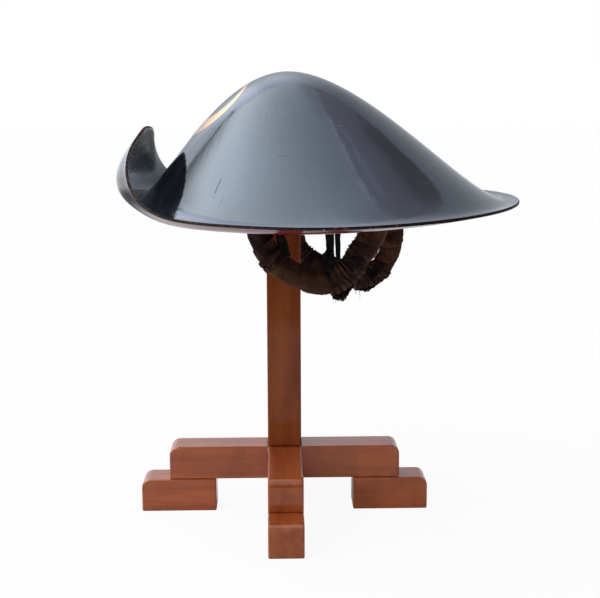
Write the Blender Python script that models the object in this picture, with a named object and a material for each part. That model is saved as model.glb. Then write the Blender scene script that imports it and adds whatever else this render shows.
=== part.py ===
"""A lacquered war hat with a turned-up front brim, on the wooden stand that carries it.

Lengths are in metres and +Z is up. The origin lies on the floor under the post's axis.
The hat faces -X, so its left side is -Y. The hat's own pieces are placed in a frame at the top
of its crown, which is turned a little on the stand.
"""

import math

import bmesh
import bpy
import numpy as np
from mathutils import Vector

FIT = 0.0003  # gap between pieces that touch

# Stand: a post on two half-lapped beams, each on two foot blocks
BEAM = 0.032  # square section of the beams
BEAM_LENGTH = 0.222
FOOT_HEIGHT = 0.032
FOOT_LENGTH = 0.072
FOOT_OVERHANG = 0.0275  # how far a foot reaches past its beam's end
END_ROUND = 0.0085  # radius on the upper corner at each end
EDGE_EASE = 0.001
POST = 0.032  # square section of the post
POST_LENGTH = 0.300
TENON = 0.020  # square section of the post's tenon
TENON_LENGTH = 0.024
DISC_RADIUS = 0.042
DISC_THICKNESS = 0.018
DISC_EDGE = 0.004

# Screws
SCREW_CLEARANCE = 0.0003
FOOT_SCREW = {"shank": 0.002, "head": 0.004, "head_height": 0.003, "length": 0.042}
FOOT_SCREW_SINK = 0.010
FOOT_SCREW_SPACING = 0.025
POST_SCREW = {"shank": 0.0025, "head": 0.006, "head_height": 0.0025, "length": 0.045}
POST_SCREW_SINK = 0.003
DISC_SCREW = {"shank": 0.0025, "head": 0.005, "head_height": 0.0025, "length": 0.040}
DISC_SCREW_SINK = 0.0028

# Hat shell: the crown's half-width at the brim's fold, its drop below the crown's top, and the
# two curve weights that shape the crown, each at the front, the side and the back
CROWN_REACH = (0.1426, 0.1660, 0.2024)
CROWN_DROP = (0.1181, 0.1286, 0.1180)
FOLD_LIFT = 0.0025  # of the fold all round the front half
FOLD_LIFT_SPREAD = 88
FOLD_LIFT_POWER = 8
CROWN_FULLNESS = (0.485, 0.429, 0.350)
CROWN_FLARE = (0.156, 0.249, 0.166)
# Brim: how wide it is past the fold, and how far it turns up
BRIM_WIDTH = (0.0800, 0.0202, 0.0117)
BRIM_TURN = (129.2, 23.3, 8.9)
BRIM_CURL = 3.0  # the turn comes this much sooner at the fold than at the edge
FLAP_TURN_SPREAD = 40.2  # half-angle of the turned-up flap at the front
FLAP_TURN_POWER = 3.3
FLAP_WIDTH_SPREAD = 33.6
FLAP_WIDTH_POWER = 2.84
SHELL = 0.0025
HAT_TURN = -3.5  # degrees, of the hat on its stand
HAT_SHIFT = 0.0054  # of the crown's top behind the post

# Padding under the crown
CUSHION_LENGTH = 0.125
CUSHION_WIDTH = 0.100
CUSHION_THICKNESS = 0.0334
LINING_GAP = 0.0009  # to what lies on the lining, as the crown is made of flat facets
CUSHION_TIE_ANGLES = (42, 138, 222, 318)
CUSHION_TIE_REACH = 0.015  # from the cushion's edge to its staple

# Ear loops: two wrapped rolls of cloth that hang from rings, one on each side
LOOP_SIDE = 0.084  # of their plane from the hat's middle
EYE_CLEARANCE = 0.0125  # from the lining down to the line that they swing about
LOOP_RADIUS = 0.0106
NECK_RADIUS = 0.0042
NECK_TOP = 0.0065  # the neck's end below the eye line
NECK_LENGTH = 0.026
WRAP_PITCH = 0.015
WRAP_STEP = 0.0009  # how far each turn of cloth stands over the next
FRONT_EYE = -0.022
BACK_EYE = 0.095
# Each loop's bend as points (along the hat, below the eye line), between its two necks
LEFT_BEND = ((-0.022, -0.047), (-0.009, -0.072), (0.012, -0.086), (0.033, -0.092),
             (0.052, -0.084), (0.067, -0.066), (0.079, -0.046))
RIGHT_BEND = ((-0.006, -0.052), (0.006, -0.086), (0.030, -0.104), (0.062, -0.114),
              (0.087, -0.106), (0.099, -0.084), (0.101, -0.050))
# Tie cords: the place of each one's staple, of its foot on the loop, and its strands' spread
LEFT_TIE = {"eye": -0.0085, "foot": -0.0100, "spread": 0.0045}
RIGHT_TIE = {"eye": 0.0460, "foot": 0.0370, "spread": 0.0075}
TIE_RADIUS = 0.00175
# Loose ends of the cloth wrapping: where each leaves its loop, how far it reaches and dips
LEFT_TAIL = {"leaves": 0.043, "reach": 0.020, "rise": 0.002, "dip": 0.007}
RIGHT_TAIL = {"leaves": 0.068, "reach": 0.018, "rise": 0.003, "dip": 0.006}
TAIL_WIDTH = 0.012
TAIL_THICKNESS = 0.0012
TAIL_FOLD = 0.0016

# Iron rings and staples
RING_RADIUS = 0.007
RING_WIRE = 0.0011
STAPLE_WIRE = 0.0009
STAPLE_WIDTH = 0.008
STAPLE_PLATE = 0.0052  # radius
PLATE_THICKNESS = 0.0016
CUSHION_EYE_DEPTH = 0.0145  # of a cushion staple's eye below the lining
CUSHION_CORD = 0.0010

BEAM_BOTTOM = FOOT_HEIGHT + FIT
BEAM_TOP = BEAM_BOTTOM + BEAM
LAP_HEIGHT = BEAM_BOTTOM + BEAM / 2
POST_BOTTOM = BEAM_TOP + FIT
POST_TOP = POST_BOTTOM + POST_LENGTH
DISC_BOTTOM = POST_TOP + FIT
DISC_TOP = DISC_BOTTOM + DISC_THICKNESS
SEAT = DISC_TOP + FIT
HAT_TOP = SEAT + CUSHION_THICKNESS + LINING_GAP + SHELL
BASE_REACH = BEAM_LENGTH / 2 + FOOT_OVERHANG
RING_DROP = RING_RADIUS - RING_WIRE - STAPLE_WIRE - FIT  # a ring's centre below its eye
TIE_TURN = RING_WIRE + FIT + TIE_RADIUS  # radius of a tie cord's turn over its ring


def material(name, colour, roughness, metallic=0.0):
    made = bpy.data.materials.new(name)
    made.use_nodes = True
    shader = made.node_tree.nodes["Principled BSDF"]
    shader.inputs["Base Color"].default_value = (*colour, 1.0)
    shader.inputs["Roughness"].default_value = roughness
    shader.inputs["Metallic"].default_value = metallic
    made.diffuse_color = (*colour, 1.0)
    return made


def add_object(name, mesh, look, parent=None, cutter=False):
    made = bpy.data.objects.new(name, mesh)
    bpy.context.scene.collection.objects.link(made)
    made.parent = parent
    if look:
        mesh.materials.append(look)
    if cutter:
        made.hide_render = True
        made.display_type = "WIRE"
    return made


def add_empty(name, place, turn=0.0, parent=None):
    made = bpy.data.objects.new(name, None)
    bpy.context.scene.collection.objects.link(made)
    made.location = place
    made.rotation_euler = (0.0, 0.0, math.radians(turn))
    made.parent = parent
    return made


def combine(target, tool, operation="DIFFERENCE"):
    change = target.modifiers.new(tool.name, "BOOLEAN")
    change.operation = operation
    change.solver = "EXACT"
    change.object = tool


def loft_mesh(name, rings):
    """A mesh through rings of points, capped at both ends, or joined into a closed ring where
    its first and last ring are the same."""
    shape = bmesh.new()
    closed = np.allclose(rings[0], rings[-1])
    if closed:
        rings = rings[:-1]
    rows = [[shape.verts.new(point) for point in ring] for ring in rings]
    for lower, upper in zip(rows, rows[1:] + rows[:1] if closed else rows[1:]):
        for i in range(len(lower)):
            k = (i + 1) % len(lower)
            shape.faces.new((lower[i], lower[k], upper[k], upper[i]))
    if not closed:
        shape.faces.new(reversed(rows[0]))
        shape.faces.new(rows[-1])
    bmesh.ops.recalc_face_normals(shape, faces=shape.faces)
    mesh = bpy.data.meshes.new(name)
    shape.to_mesh(mesh)
    shape.free()
    mesh.shade_smooth()
    mesh.set_sharp_from_angle(angle=math.radians(40))
    return mesh


def add_loft(name, rings, look, parent=None, cutter=False):
    return add_object(name, loft_mesh(name, rings), look, parent, cutter)


def lathe(profile, centre=(0.0, 0.0, 0.0), sides=20):
    """Rings of a turned solid from its (radius, height) profile, lowest first."""
    turns = 2 * math.pi * np.arange(sides) / sides
    x, y, z = centre
    return [
        np.stack([x + radius * np.cos(turns), y + radius * np.sin(turns),
                  np.full(sides, z + height)], axis=1)
        for radius, height in profile
    ]


def tube(points, radii, sides=8, across=(0.0, 1.0, 0.0)):
    """Rings round a route. The sections keep one axis as near to the given direction as they can.
    radii is one radius, one for each point, or a function of the point's number and the angle."""
    points = np.asarray(points, float)
    closed = np.allclose(points[0], points[-1])
    before = np.roll(points, 1, axis=0)
    after = np.roll(points, -1, axis=0)
    if closed:
        before[0] = points[-2]
        after[-1] = points[1]
    else:
        before[0] = points[0]
        after[-1] = points[-1]
    turns = 2 * math.pi * (np.arange(sides) + 0.5) / sides
    rings = []
    for number, point in enumerate(points):
        along = after[number] - before[number]
        along /= np.linalg.norm(along)
        first = np.cross(along, across)
        first /= np.linalg.norm(first)
        second = np.cross(along, first)
        if callable(radii):
            radius = np.array([radii(number, turn) for turn in turns])
        else:
            radius = np.broadcast_to(radii, len(points))[number]
        rings.append(point + (np.cos(turns) * radius)[:, None] * first
                     + (np.sin(turns) * radius)[:, None] * second)
    return rings


def smooth_route(points, count):
    """Points at even spacing along the smooth curve through the given points."""
    points = np.asarray(points, float)
    padded = np.vstack([2 * points[0] - points[1], points, 2 * points[-1] - points[-2]])
    fine = []
    for a, b, c, d in zip(padded, padded[1:], padded[2:], padded[3:]):
        for t in np.linspace(0, 1, 24, endpoint=False):
            fine.append(0.5 * (2 * b + (c - a) * t + (2 * a - 5 * b + 4 * c - d) * t**2
                               + (3 * b - a - 3 * c + d) * t**3))
    fine = np.vstack([fine, points[-1]])
    reach = np.r_[0, np.cumsum(np.linalg.norm(np.diff(fine, axis=0), axis=1))]
    even = np.linspace(0, reach[-1], count)
    return np.stack([np.interp(even, reach, fine[:, i]) for i in range(fine.shape[1])], axis=1)


# ---------------------------------------------------------------- stand


def block(name, size, centre, look, round_ends=None):
    """A rectangular bar. round_ends names the axis whose two upper end corners are rounded."""
    shape = bmesh.new()
    bmesh.ops.create_cube(shape, size=1.0)
    bmesh.ops.scale(shape, vec=size, verts=shape.verts)
    if round_ends is not None:
        across = 1 - round_ends
        ends = [edge for edge in shape.edges
                if all(vert.co.z > 0 for vert in edge.verts)
                and abs(edge.verts[0].co[across] - edge.verts[1].co[across]) > EDGE_EASE]
        bmesh.ops.bevel(shape, geom=ends, offset=END_ROUND, segments=5, profile=0.5,
                        affect="EDGES", clamp_overlap=True)
    bmesh.ops.translate(shape, vec=centre, verts=shape.verts)
    mesh = bpy.data.meshes.new(name)
    shape.to_mesh(mesh)
    shape.free()
    made = add_object(name, mesh, look)
    ease = made.modifiers.new("ease", "BEVEL")
    ease.width = EDGE_EASE
    ease.segments = 1
    ease.limit_method = "ANGLE"
    ease.angle_limit = math.radians(60)
    return made


def cut_box(name, target, size, centre):
    shape = bmesh.new()
    bmesh.ops.create_cube(shape, size=1.0)
    bmesh.ops.scale(shape, vec=size, verts=shape.verts)
    bmesh.ops.translate(shape, vec=centre, verts=shape.verts)
    mesh = bpy.data.meshes.new(name)
    shape.to_mesh(mesh)
    shape.free()
    combine(target, add_object(name, mesh, None, cutter=True))


def screw_profile(screw, gap=0.0, extra=0.0):
    """Head down: the head's face is at 0 and the shank goes up. gap widens it, extra lengthens
    its head's end, for the hole that it sits in."""
    head, shank = screw["head"] + gap, screw["shank"] + gap
    return [(head, -extra), (head, screw["head_height"] + gap), (shank, screw["head_height"] + gap),
            (shank, screw["length"] + gap)]


def turned_over(profile):
    return [(radius, -height) for radius, height in reversed(profile)]


def foot_screw_distances():
    """From the base's middle, to the screws that a foot and its beam share."""
    middle = (BEAM_LENGTH / 2 + BASE_REACH - FOOT_LENGTH) / 2
    return middle - FOOT_SCREW_SPACING / 2, middle + FOOT_SCREW_SPACING / 2


def add_screw(name, screw, place, sink, targets, steel, down=False):
    """A screw with its head's face at a place, and its hole in each target. sink is how deep the
    head's face lies below the wood."""
    body, hole = screw_profile(screw), screw_profile(screw, SCREW_CLEARANCE, sink + EDGE_EASE)
    if down:
        body, hole = turned_over(body), turned_over(hole)
    bore = add_loft(name + "_bore", lathe(hole, place, 12), None, cutter=True)
    for target in targets:
        combine(target, bore)
    add_loft(name, lathe(body, place, 12), steel)


def build_stand(wood, steel):
    beam_centre = BEAM_BOTTOM + BEAM / 2
    long_beam = block("base_beam_long", (BEAM_LENGTH, BEAM, BEAM), (0, 0, beam_centre), wood, 0)
    cross_beam = block("base_beam_cross", (BEAM, BEAM_LENGTH, BEAM), (0, 0, beam_centre), wood, 1)
    lap = BEAM + 2 * FIT
    reach = BEAM + 2 * EDGE_EASE
    cut_box("lap_upper", long_beam, (lap, reach, BEAM), (0, 0, LAP_HEIGHT + BEAM / 2))
    cut_box("lap_lower", cross_beam, (reach, lap, BEAM), (0, 0, LAP_HEIGHT + FIT - BEAM / 2))

    tenon_bottom = BEAM_TOP - TENON_LENGTH
    hole = TENON + 2 * FIT
    socket_height = BEAM_TOP - tenon_bottom + FIT + EDGE_EASE
    socket_centre = (0, 0, tenon_bottom - FIT + socket_height / 2)
    cut_box("socket_long", long_beam, (hole, hole, socket_height), socket_centre)
    cut_box("socket_cross", cross_beam, (hole, hole, socket_height), socket_centre)

    from_middle = BASE_REACH - FOOT_LENGTH / 2
    for name, axis, side, beam in (("front", 0, -1, long_beam), ("back", 0, 1, long_beam),
                                   ("left", 1, -1, cross_beam), ("right", 1, 1, cross_beam)):
        size = [BEAM, BEAM, FOOT_HEIGHT]
        size[axis] = FOOT_LENGTH
        centre = [0.0, 0.0, FOOT_HEIGHT / 2]
        centre[axis] = side * from_middle
        foot = foot_block("foot_" + name, size, centre, wood, axis, side)
        for number, distance in enumerate(foot_screw_distances(), 1):
            place = [0.0, 0.0, FOOT_SCREW_SINK]
            place[axis] = side * distance
            add_screw(f"foot_screw_{name}_{number}", FOOT_SCREW, place, FOOT_SCREW_SINK,
                      (foot, beam), steel)

    post = block("post", (POST, POST, POST_LENGTH), (0, 0, POST_BOTTOM + POST_LENGTH / 2), wood)
    shape = bmesh.new()
    bmesh.ops.create_cube(shape, size=1.0)
    tenon_height = POST_BOTTOM - tenon_bottom + EDGE_EASE * 2
    bmesh.ops.scale(shape, vec=(TENON, TENON, tenon_height), verts=shape.verts)
    bmesh.ops.translate(shape, vec=(0, 0, tenon_bottom + tenon_height / 2), verts=shape.verts)
    tenon_mesh = bpy.data.meshes.new("tenon")
    shape.to_mesh(tenon_mesh)
    shape.free()
    combine(post, add_object("tenon", tenon_mesh, None, cutter=True), "UNION")

    screw_base = BEAM_BOTTOM + POST_SCREW_SINK - POST_SCREW["head_height"]
    add_screw("post_screw", POST_SCREW, (0, 0, screw_base), POST_SCREW_SINK,
              (long_beam, post), steel)

    disc = add_loft("head_disc", lathe(
        [(DISC_RADIUS - DISC_EDGE, DISC_BOTTOM), (DISC_RADIUS, DISC_BOTTOM + DISC_EDGE),
         (DISC_RADIUS, DISC_TOP - DISC_EDGE), (DISC_RADIUS - DISC_EDGE / 3, DISC_TOP - DISC_EDGE / 3),
         (DISC_RADIUS - DISC_EDGE, DISC_TOP)], sides=32), wood)
    screw_top = DISC_TOP - (DISC_SCREW_SINK - DISC_SCREW["head_height"])
    add_screw("disc_screw", DISC_SCREW, (0, 0, screw_top), DISC_SCREW_SINK, (disc, post), steel,
              down=True)


def foot_block(name, size, centre, look, axis, side):
    """A foot with its outer upper corner rounded."""
    shape = bmesh.new()
    bmesh.ops.create_cube(shape, size=1.0)
    bmesh.ops.scale(shape, vec=size, verts=shape.verts)
    corner = [edge for edge in shape.edges
              if all(vert.co.z > 0 and vert.co[axis] * side > 0 for vert in edge.verts)]
    bmesh.ops.bevel(shape, geom=corner, offset=END_ROUND, segments=5, profile=0.5,
                    affect="EDGES", clamp_overlap=True)
    bmesh.ops.translate(shape, vec=centre, verts=shape.verts)
    mesh = bpy.data.meshes.new(name)
    shape.to_mesh(mesh)
    shape.free()
    made = add_object(name, mesh, look)
    ease = made.modifiers.new("ease", "BEVEL")
    ease.width = EDGE_EASE
    ease.segments = 1
    ease.limit_method = "ANGLE"
    ease.angle_limit = math.radians(60)
    return made


# ---------------------------------------------------------------- hat shell


def around(sizes, angle):
    """A size that is given at the front, the side and the back, at an angle from the front."""
    front, side, back = sizes
    ends = (front + back) / 2
    return ((ends + side) / 2 + (front - back) / 2 * math.cos(angle)
            + (ends - side) / 2 * math.cos(2 * angle))


def side_and_back(sizes):
    """The same brim sizes with no flap: the front is as the side."""
    return sizes[1], sizes[1], sizes[2]


def swell(angle, spread, power):
    """1 at the front, falling to 0 past the given half-angle."""
    return math.exp(-abs(angle / math.radians(spread)) ** power)


def fold(angle):
    """Radius and height of the fold between crown and brim."""
    radius = around(CROWN_REACH, angle)
    level = around((CROWN_DROP[1], CROWN_DROP[1], CROWN_DROP[2]), angle)
    flap = swell(angle, FLAP_TURN_SPREAD, FLAP_TURN_POWER)
    lift = FOLD_LIFT * swell(angle, FOLD_LIFT_SPREAD, FOLD_LIFT_POWER)
    return radius, lift - (level + (CROWN_DROP[0] - CROWN_DROP[1]) * flap)


def crown_point(share, angle):
    """Radius and height on the crown, from 0 at its top to 1 at the fold."""
    radius, height = fold(angle)
    fullness = around(CROWN_FULLNESS, angle)
    flare = around(CROWN_FLARE, angle)
    rest = 1 - share
    r = (3 * share * rest**2 * fullness + 3 * share**2 * rest * (1 - flare) + share**3) * radius
    z = (3 * share**2 * rest + share**3) * height
    return r, z


def brim_points(angle, count):
    """Radius and height at even steps past the fold, to the brim's edge."""
    width = around(side_and_back(BRIM_WIDTH), angle)
    width += (BRIM_WIDTH[0] - BRIM_WIDTH[1]) * swell(angle, FLAP_WIDTH_SPREAD, FLAP_WIDTH_POWER)
    turn = around(side_and_back(BRIM_TURN), angle)
    turn += (BRIM_TURN[0] - BRIM_TURN[1]) * swell(angle, FLAP_TURN_SPREAD, FLAP_TURN_POWER)
    r, z = fold(angle)
    fine = 12
    points = []
    for step in range(count * fine):
        share = (step + 0.5) / (count * fine)
        slope = math.radians(turn) * (1 - (1 - share) ** BRIM_CURL)
        r += math.cos(slope) * width / (count * fine)
        z += math.sin(slope) * width / (count * fine)
        if step % fine == fine - 1:
            points.append((r, z))
    return points


def on_hat(radius, angle, height):
    return (-radius * math.cos(angle), -radius * math.sin(angle), height)


def crown_height(x, y):
    """Height of the crown's outer face over a place."""
    angle = math.atan2(-y, -x)
    radius = math.hypot(x, y)
    low, high = 0.0, 1.0
    for _ in range(30):
        middle = (low + high) / 2
        if crown_point(middle, angle)[0] < radius:
            low = middle
        else:
            high = middle
    return crown_point(low, angle)[1]


def lining(x, y, gap=0.0):
    """The point of the crown's inner face, or gap inside it, that lies inward from the outer
    point over a place, with the direction outward."""
    step = 0.001
    slope_x = (crown_height(x + step, y) - crown_height(x - step, y)) / (2 * step)
    slope_y = (crown_height(x, y + step) - crown_height(x, y - step)) / (2 * step)
    outward = Vector((-slope_x, -slope_y, 1.0)).normalized()
    return Vector((x, y, crown_height(x, y))) - outward * (SHELL + gap), outward


def eye_height():
    """Height of the level line that the ear loops swing about, clear of the lining all along."""
    eyes = (FRONT_EYE, LEFT_TIE["eye"], RIGHT_TIE["eye"], BACK_EYE)
    return min(lining(x, LOOP_SIDE)[0].z for x in eyes) - EYE_CLEARANCE


def build_shell(look, hat, columns=64, crown_rows=11, brim_rows=7):
    shape = bmesh.new()
    top = shape.verts.new((0.0, 0.0, 0.0))
    angles = [2 * math.pi * i / columns for i in range(columns)]
    signed = [angle if angle <= math.pi else angle - 2 * math.pi for angle in angles]
    rows = []
    for row in range(1, crown_rows + 1):
        places = [crown_point(row / crown_rows, angle) for angle in signed]
        rows.append([shape.verts.new(on_hat(r, angle, z))
                     for (r, z), angle in zip(places, signed)])
    brims = [brim_points(angle, brim_rows) for angle in signed]
    for row in range(brim_rows):
        rows.append([shape.verts.new(on_hat(brim[row][0], angle, brim[row][1]))
                     for brim, angle in zip(brims, signed)])
    for i in range(columns):
        shape.faces.new((top, rows[0][i], rows[0][(i + 1) % columns]))
        for inner, outer in zip(rows, rows[1:]):
            k = (i + 1) % columns
            shape.faces.new((inner[i], outer[i], outer[k], inner[k]))
    bmesh.ops.recalc_face_normals(shape, faces=shape.faces)
    if sum(face.normal.z for face in shape.faces) < 0:
        bmesh.ops.reverse_faces(shape, faces=shape.faces)
    mesh = bpy.data.meshes.new("hat_shell")
    shape.to_mesh(mesh)
    shape.free()
    mesh.shade_smooth()
    made = add_object("hat_shell", mesh, look, hat)
    wall = made.modifiers.new("wall", "SOLIDIFY")
    wall.thickness = SHELL
    wall.offset = -1.0
    wall.use_even_offset = True
    return made


# ---------------------------------------------------------------- padding


def cushion_edge(angle):
    """The cushion's half-size toward an angle."""
    long, wide = CUSHION_LENGTH / 2, CUSHION_WIDTH / 2
    return 1 / math.sqrt((math.cos(angle) / long) ** 2 + (math.sin(angle) / wide) ** 2)


def cushion_middle(x, y):
    """Middle height and half thickness of the space between the seat and the crown's lining."""
    top = crown_height(x, y) - (SHELL + LINING_GAP) / lining(x, y)[1].z
    seat = -(HAT_TOP - SEAT)
    return (top + seat) / 2, (top - seat) / 2


def build_cushion(look, hat, columns=28, rows=7):
    """A stuffed pad that fills the crown over the disc, full in the middle, drawn in at its edge."""
    shape = bmesh.new()
    angles = [2 * math.pi * i / columns for i in range(columns)]
    shares = [math.sin(math.pi / 2 * row / rows) for row in range(1, rows + 1)]
    sides = []
    for sign in (1, -1):
        middle, half = cushion_middle(0.0, 0.0)
        centre = shape.verts.new((0.0, 0.0, middle + sign * half))
        rings = []
        for share in shares:
            ring = []
            for angle in angles:
                reach = share * cushion_edge(angle)
                x, y, _ = on_hat(reach, angle, 0.0)
                middle, half = cushion_middle(x, y)
                ring.append((x, y, middle + sign * half * math.sqrt(max(0.0, 1 - share**4))))
            rings.append(ring)
        sides.append((centre, rings))
    edge = [shape.verts.new(point) for point in sides[0][1][-1]]
    for centre, rings in sides:
        rows_made = [[shape.verts.new(point) for point in ring] for ring in rings[:-1]] + [edge]
        for i in range(columns):
            k = (i + 1) % columns
            shape.faces.new((centre, rows_made[0][i], rows_made[0][k]))
            for inner, outer in zip(rows_made, rows_made[1:]):
                shape.faces.new((inner[i], outer[i], outer[k], inner[k]))
    bmesh.ops.recalc_face_normals(shape, faces=shape.faces)
    mesh = bpy.data.meshes.new("head_cushion")
    shape.to_mesh(mesh)
    shape.free()
    mesh.shade_smooth()
    add_object("head_cushion", mesh, look, hat)


# ---------------------------------------------------------------- rings and staples


def staple_lofts(x, y, eye, heading=0.0):
    """A wire staple whose eye's wire runs level along a heading, and its plate on the lining."""
    beside, _ = lining(x, y, LINING_GAP)
    seat, outward = lining(2 * x - beside.x, 2 * y - beside.y, LINING_GAP)
    ahead = np.array((math.cos(heading), math.sin(heading), 0.0))
    across = (-ahead[1], ahead[0], 0.0)
    half = STAPLE_WIDTH / 2
    plate_middle = seat - outward * PLATE_THICKNESS / 2

    def leg_top(side):
        foot = Vector((x, y, 0.0)) + Vector(ahead) * side * half
        climb = (plate_middle - foot).dot(outward) / outward.z
        return climb

    corner = half * 0.45
    route = [(-half, leg_top(-1)), (-half, eye + corner), (-half + corner * 0.3, eye + corner * 0.3),
             (-half + corner, eye), (half - corner, eye), (half - corner * 0.3, eye + corner * 0.3),
             (half, eye + corner), (half, leg_top(1))]
    points = [np.array((x, y, 0.0)) + ahead * s + np.array((0, 0, z)) for s, z in route]
    wire = tube(points, STAPLE_WIRE, sides=6, across=across)
    turn = outward.to_track_quat("Z", "Y").to_matrix()
    plate = [
        [turn @ Vector(point) + plate_middle for point in ring]
        for ring in lathe([(STAPLE_PLATE, -PLATE_THICKNESS / 2), (STAPLE_PLATE, PLATE_THICKNESS / 2)],
                          sides=12)
    ]
    return wire, plate


def add_staple(name, look, hat, place):
    """A staple at an (x, y, eye height, heading), its wire joined to its plate."""
    wire, plate = staple_lofts(*place)
    made = add_loft(name, wire, look, hat)
    combine(made, add_loft(name + "_plate", plate, None, hat, cutter=True), "UNION")


def ring_route(x, count=16):
    """A ring's middle line, hanging square to the eye line, which is at height 0."""
    turns = 2 * math.pi * np.arange(count + 1) / count
    return np.stack([np.full(count + 1, x), RING_RADIUS * np.sin(turns),
                     RING_RADIUS * np.cos(turns) - RING_DROP], axis=1)


def ring_rings(x, wire):
    return tube(ring_route(x), wire, sides=6, across=(1.0, 0.0, 0.0))


def build_cushion_ties(iron, cord, hat):
    """Four short loops of cord that hold the cushion up to staples in the crown."""
    for number, degrees in enumerate(CUSHION_TIE_ANGLES, 1):
        angle = math.radians(degrees)
        edge = cushion_edge(angle)
        x, y, _ = on_hat(edge + CUSHION_TIE_REACH, angle, 0.0)
        eye = lining(x, y)[0].z - CUSHION_EYE_DEPTH
        add_staple(f"cushion_staple_{number}", iron, hat, (x, y, eye, angle + math.pi / 2))
        edge_x, edge_y, _ = on_hat(edge, angle, 0.0)
        edge_z = cushion_middle(edge_x, edge_y)[0]
        inward = np.array((edge_x - x, edge_y - y, edge_z - eye))
        turn = STAPLE_WIRE + FIT + CUSHION_CORD
        length = np.linalg.norm(inward) - turn - CUSHION_CORD - FIT
        inward /= np.linalg.norm(inward)
        level = np.array((-math.sin(angle), math.cos(angle), 0.0))
        upward = np.cross(inward, level)
        centre = np.array((x, y, eye))
        route = []
        for base, start in ((0.0, math.pi / 2), (length, -math.pi / 2)):
            for step in range(7):
                bend = start + math.pi * step / 6
                route.append(centre + inward * (base + turn * math.cos(bend))
                             + upward * turn * math.sin(bend))
        route.append(route[0])
        add_loft(f"cushion_cord_{number}", tube(route, CUSHION_CORD, sides=6, across=tuple(level)),
                 cord, hat)


# ---------------------------------------------------------------- ear loops


def loop_route(bend, count=60):
    ends = [(FRONT_EYE, -NECK_TOP), *bend, (BACK_EYE, -NECK_TOP)]
    flat = smooth_route(ends, count)
    return np.stack([flat[:, 0], np.zeros(count), flat[:, 1]], axis=1)


def roll_radius(reach, total):
    """Radius of the roll at a distance along it, without its wrapping: narrow at both necks."""
    from_end = min(reach, total - reach)
    share = min(1.0, from_end / NECK_LENGTH)
    ease = share * share * (3 - 2 * share)
    return NECK_RADIUS + (LOOP_RADIUS - NECK_RADIUS) * ease


def build_ear_loop(side, bend, tie, tail, cloth, cord, iron, pivot):
    route = loop_route(bend)
    reach = np.r_[0, np.cumsum(np.linalg.norm(np.diff(route, axis=0), axis=1))]

    def wrapped(number, turn):
        plain = roll_radius(reach[number], reach[-1])
        layer = (reach[number] / WRAP_PITCH - turn / (2 * math.pi)) % 1.0
        fade = (plain - NECK_RADIUS) / (LOOP_RADIUS - NECK_RADIUS)
        return plain - WRAP_STEP * layer * fade

    roll = add_loft(side + "_ear_loop", tube(route, wrapped, sides=10), cloth, pivot)
    for place, x in (("front", FRONT_EYE), ("middle", tie["eye"]), ("back", BACK_EYE)):
        name = f"{side}_{place}_ring"
        add_loft(name, ring_rings(x, RING_WIRE), iron, pivot)
        if place != "middle":
            combine(roll, add_loft(name + "_bore", ring_rings(x, RING_WIRE + FIT), None, pivot,
                                   cutter=True))
    build_tie(side, route, reach, tie, cord, pivot)
    build_tail(side, route, tail, cloth, pivot)


def lower_point(route, x):
    """Number of the route's point that lies over a place on the lower half of the loop."""
    return np.argmin(np.abs(route[:, 0] - x) + (route[:, 2] > route[:, 2].min() / 2) * 1.0)


def build_tie(side, route, reach, tie, cord, pivot):
    """A doubled cord over the middle ring, down to a band of the same cord round the roll."""
    near = lower_point(route, tie["foot"])
    centre = route[near]
    along = route[near + 1] - route[near - 1]
    along /= np.linalg.norm(along)
    outward = np.cross(along, (0.0, 1.0, 0.0))
    band = roll_radius(reach[near], reach[-1]) + FIT + TIE_RADIUS
    turns = 2 * math.pi * np.arange(25) / 24
    band_route = [centre + band * (np.cos(t) * outward + np.sin(t) * np.array((0.0, 1.0, 0.0)))
                  for t in turns]
    if outward[2] < 0:
        outward = -outward
    foot = centre + outward * (band + TIE_RADIUS + FIT)
    ring_low = -RING_DROP - RING_RADIUS
    points = []
    half = tie["spread"] / 2
    for share in np.linspace(0, 1, 7)[:-1]:
        points.append((foot[0] - half + share * (tie["eye"] - TIE_TURN - foot[0] + half),
                       foot[2] + share * (ring_low - foot[2])))
    for turn in np.linspace(math.pi, 0, 9):
        points.append((tie["eye"] + TIE_TURN * math.cos(turn), ring_low + TIE_TURN * math.sin(turn)))
    for share in np.linspace(1, 0, 7)[1:]:
        points.append((foot[0] + half + share * (tie["eye"] + TIE_TURN - foot[0] - half),
                       foot[2] + share * (ring_low - foot[2])))
    points = [(x, 0.0, z) for x, z in points]
    add_loft(side + "_tie_cord", tube(points, TIE_RADIUS, sides=8), cord, pivot)
    add_loft(side + "_tie_band", tube(band_route, TIE_RADIUS, sides=6, across=tuple(along)),
             cord, pivot)


def build_tail(side, route, tail, cloth, pivot):
    """The loose end of the wrapping: a short strip that dips below the roll, with folds."""
    start = route[lower_point(route, tail["leaves"])]
    steps = 12
    rings = []
    for step in range(steps + 1):
        share = step / steps
        x = start[0] + share * tail["reach"]
        z = start[2] - LOOP_RADIUS - TAIL_THICKNESS / 2 + share * tail["rise"]
        z -= tail["dip"] * math.sin(math.pi * share)
        half = TAIL_WIDTH / 2 * (1 - 0.35 * share)
        lift = TAIL_THICKNESS
        top, low = [], []
        for k in range(5):
            y = half * (k / 2 - 1)
            wave = TAIL_FOLD * share * math.sin(5.0 * share + 1.9 * k)
            top.append((x, y, z + wave + lift / 2))
            low.append((x, y, z + wave - lift / 2))
        rings.append(np.array(top + low[::-1]))
    add_loft(side + "_wrap_end", rings, cloth, pivot)


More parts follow.
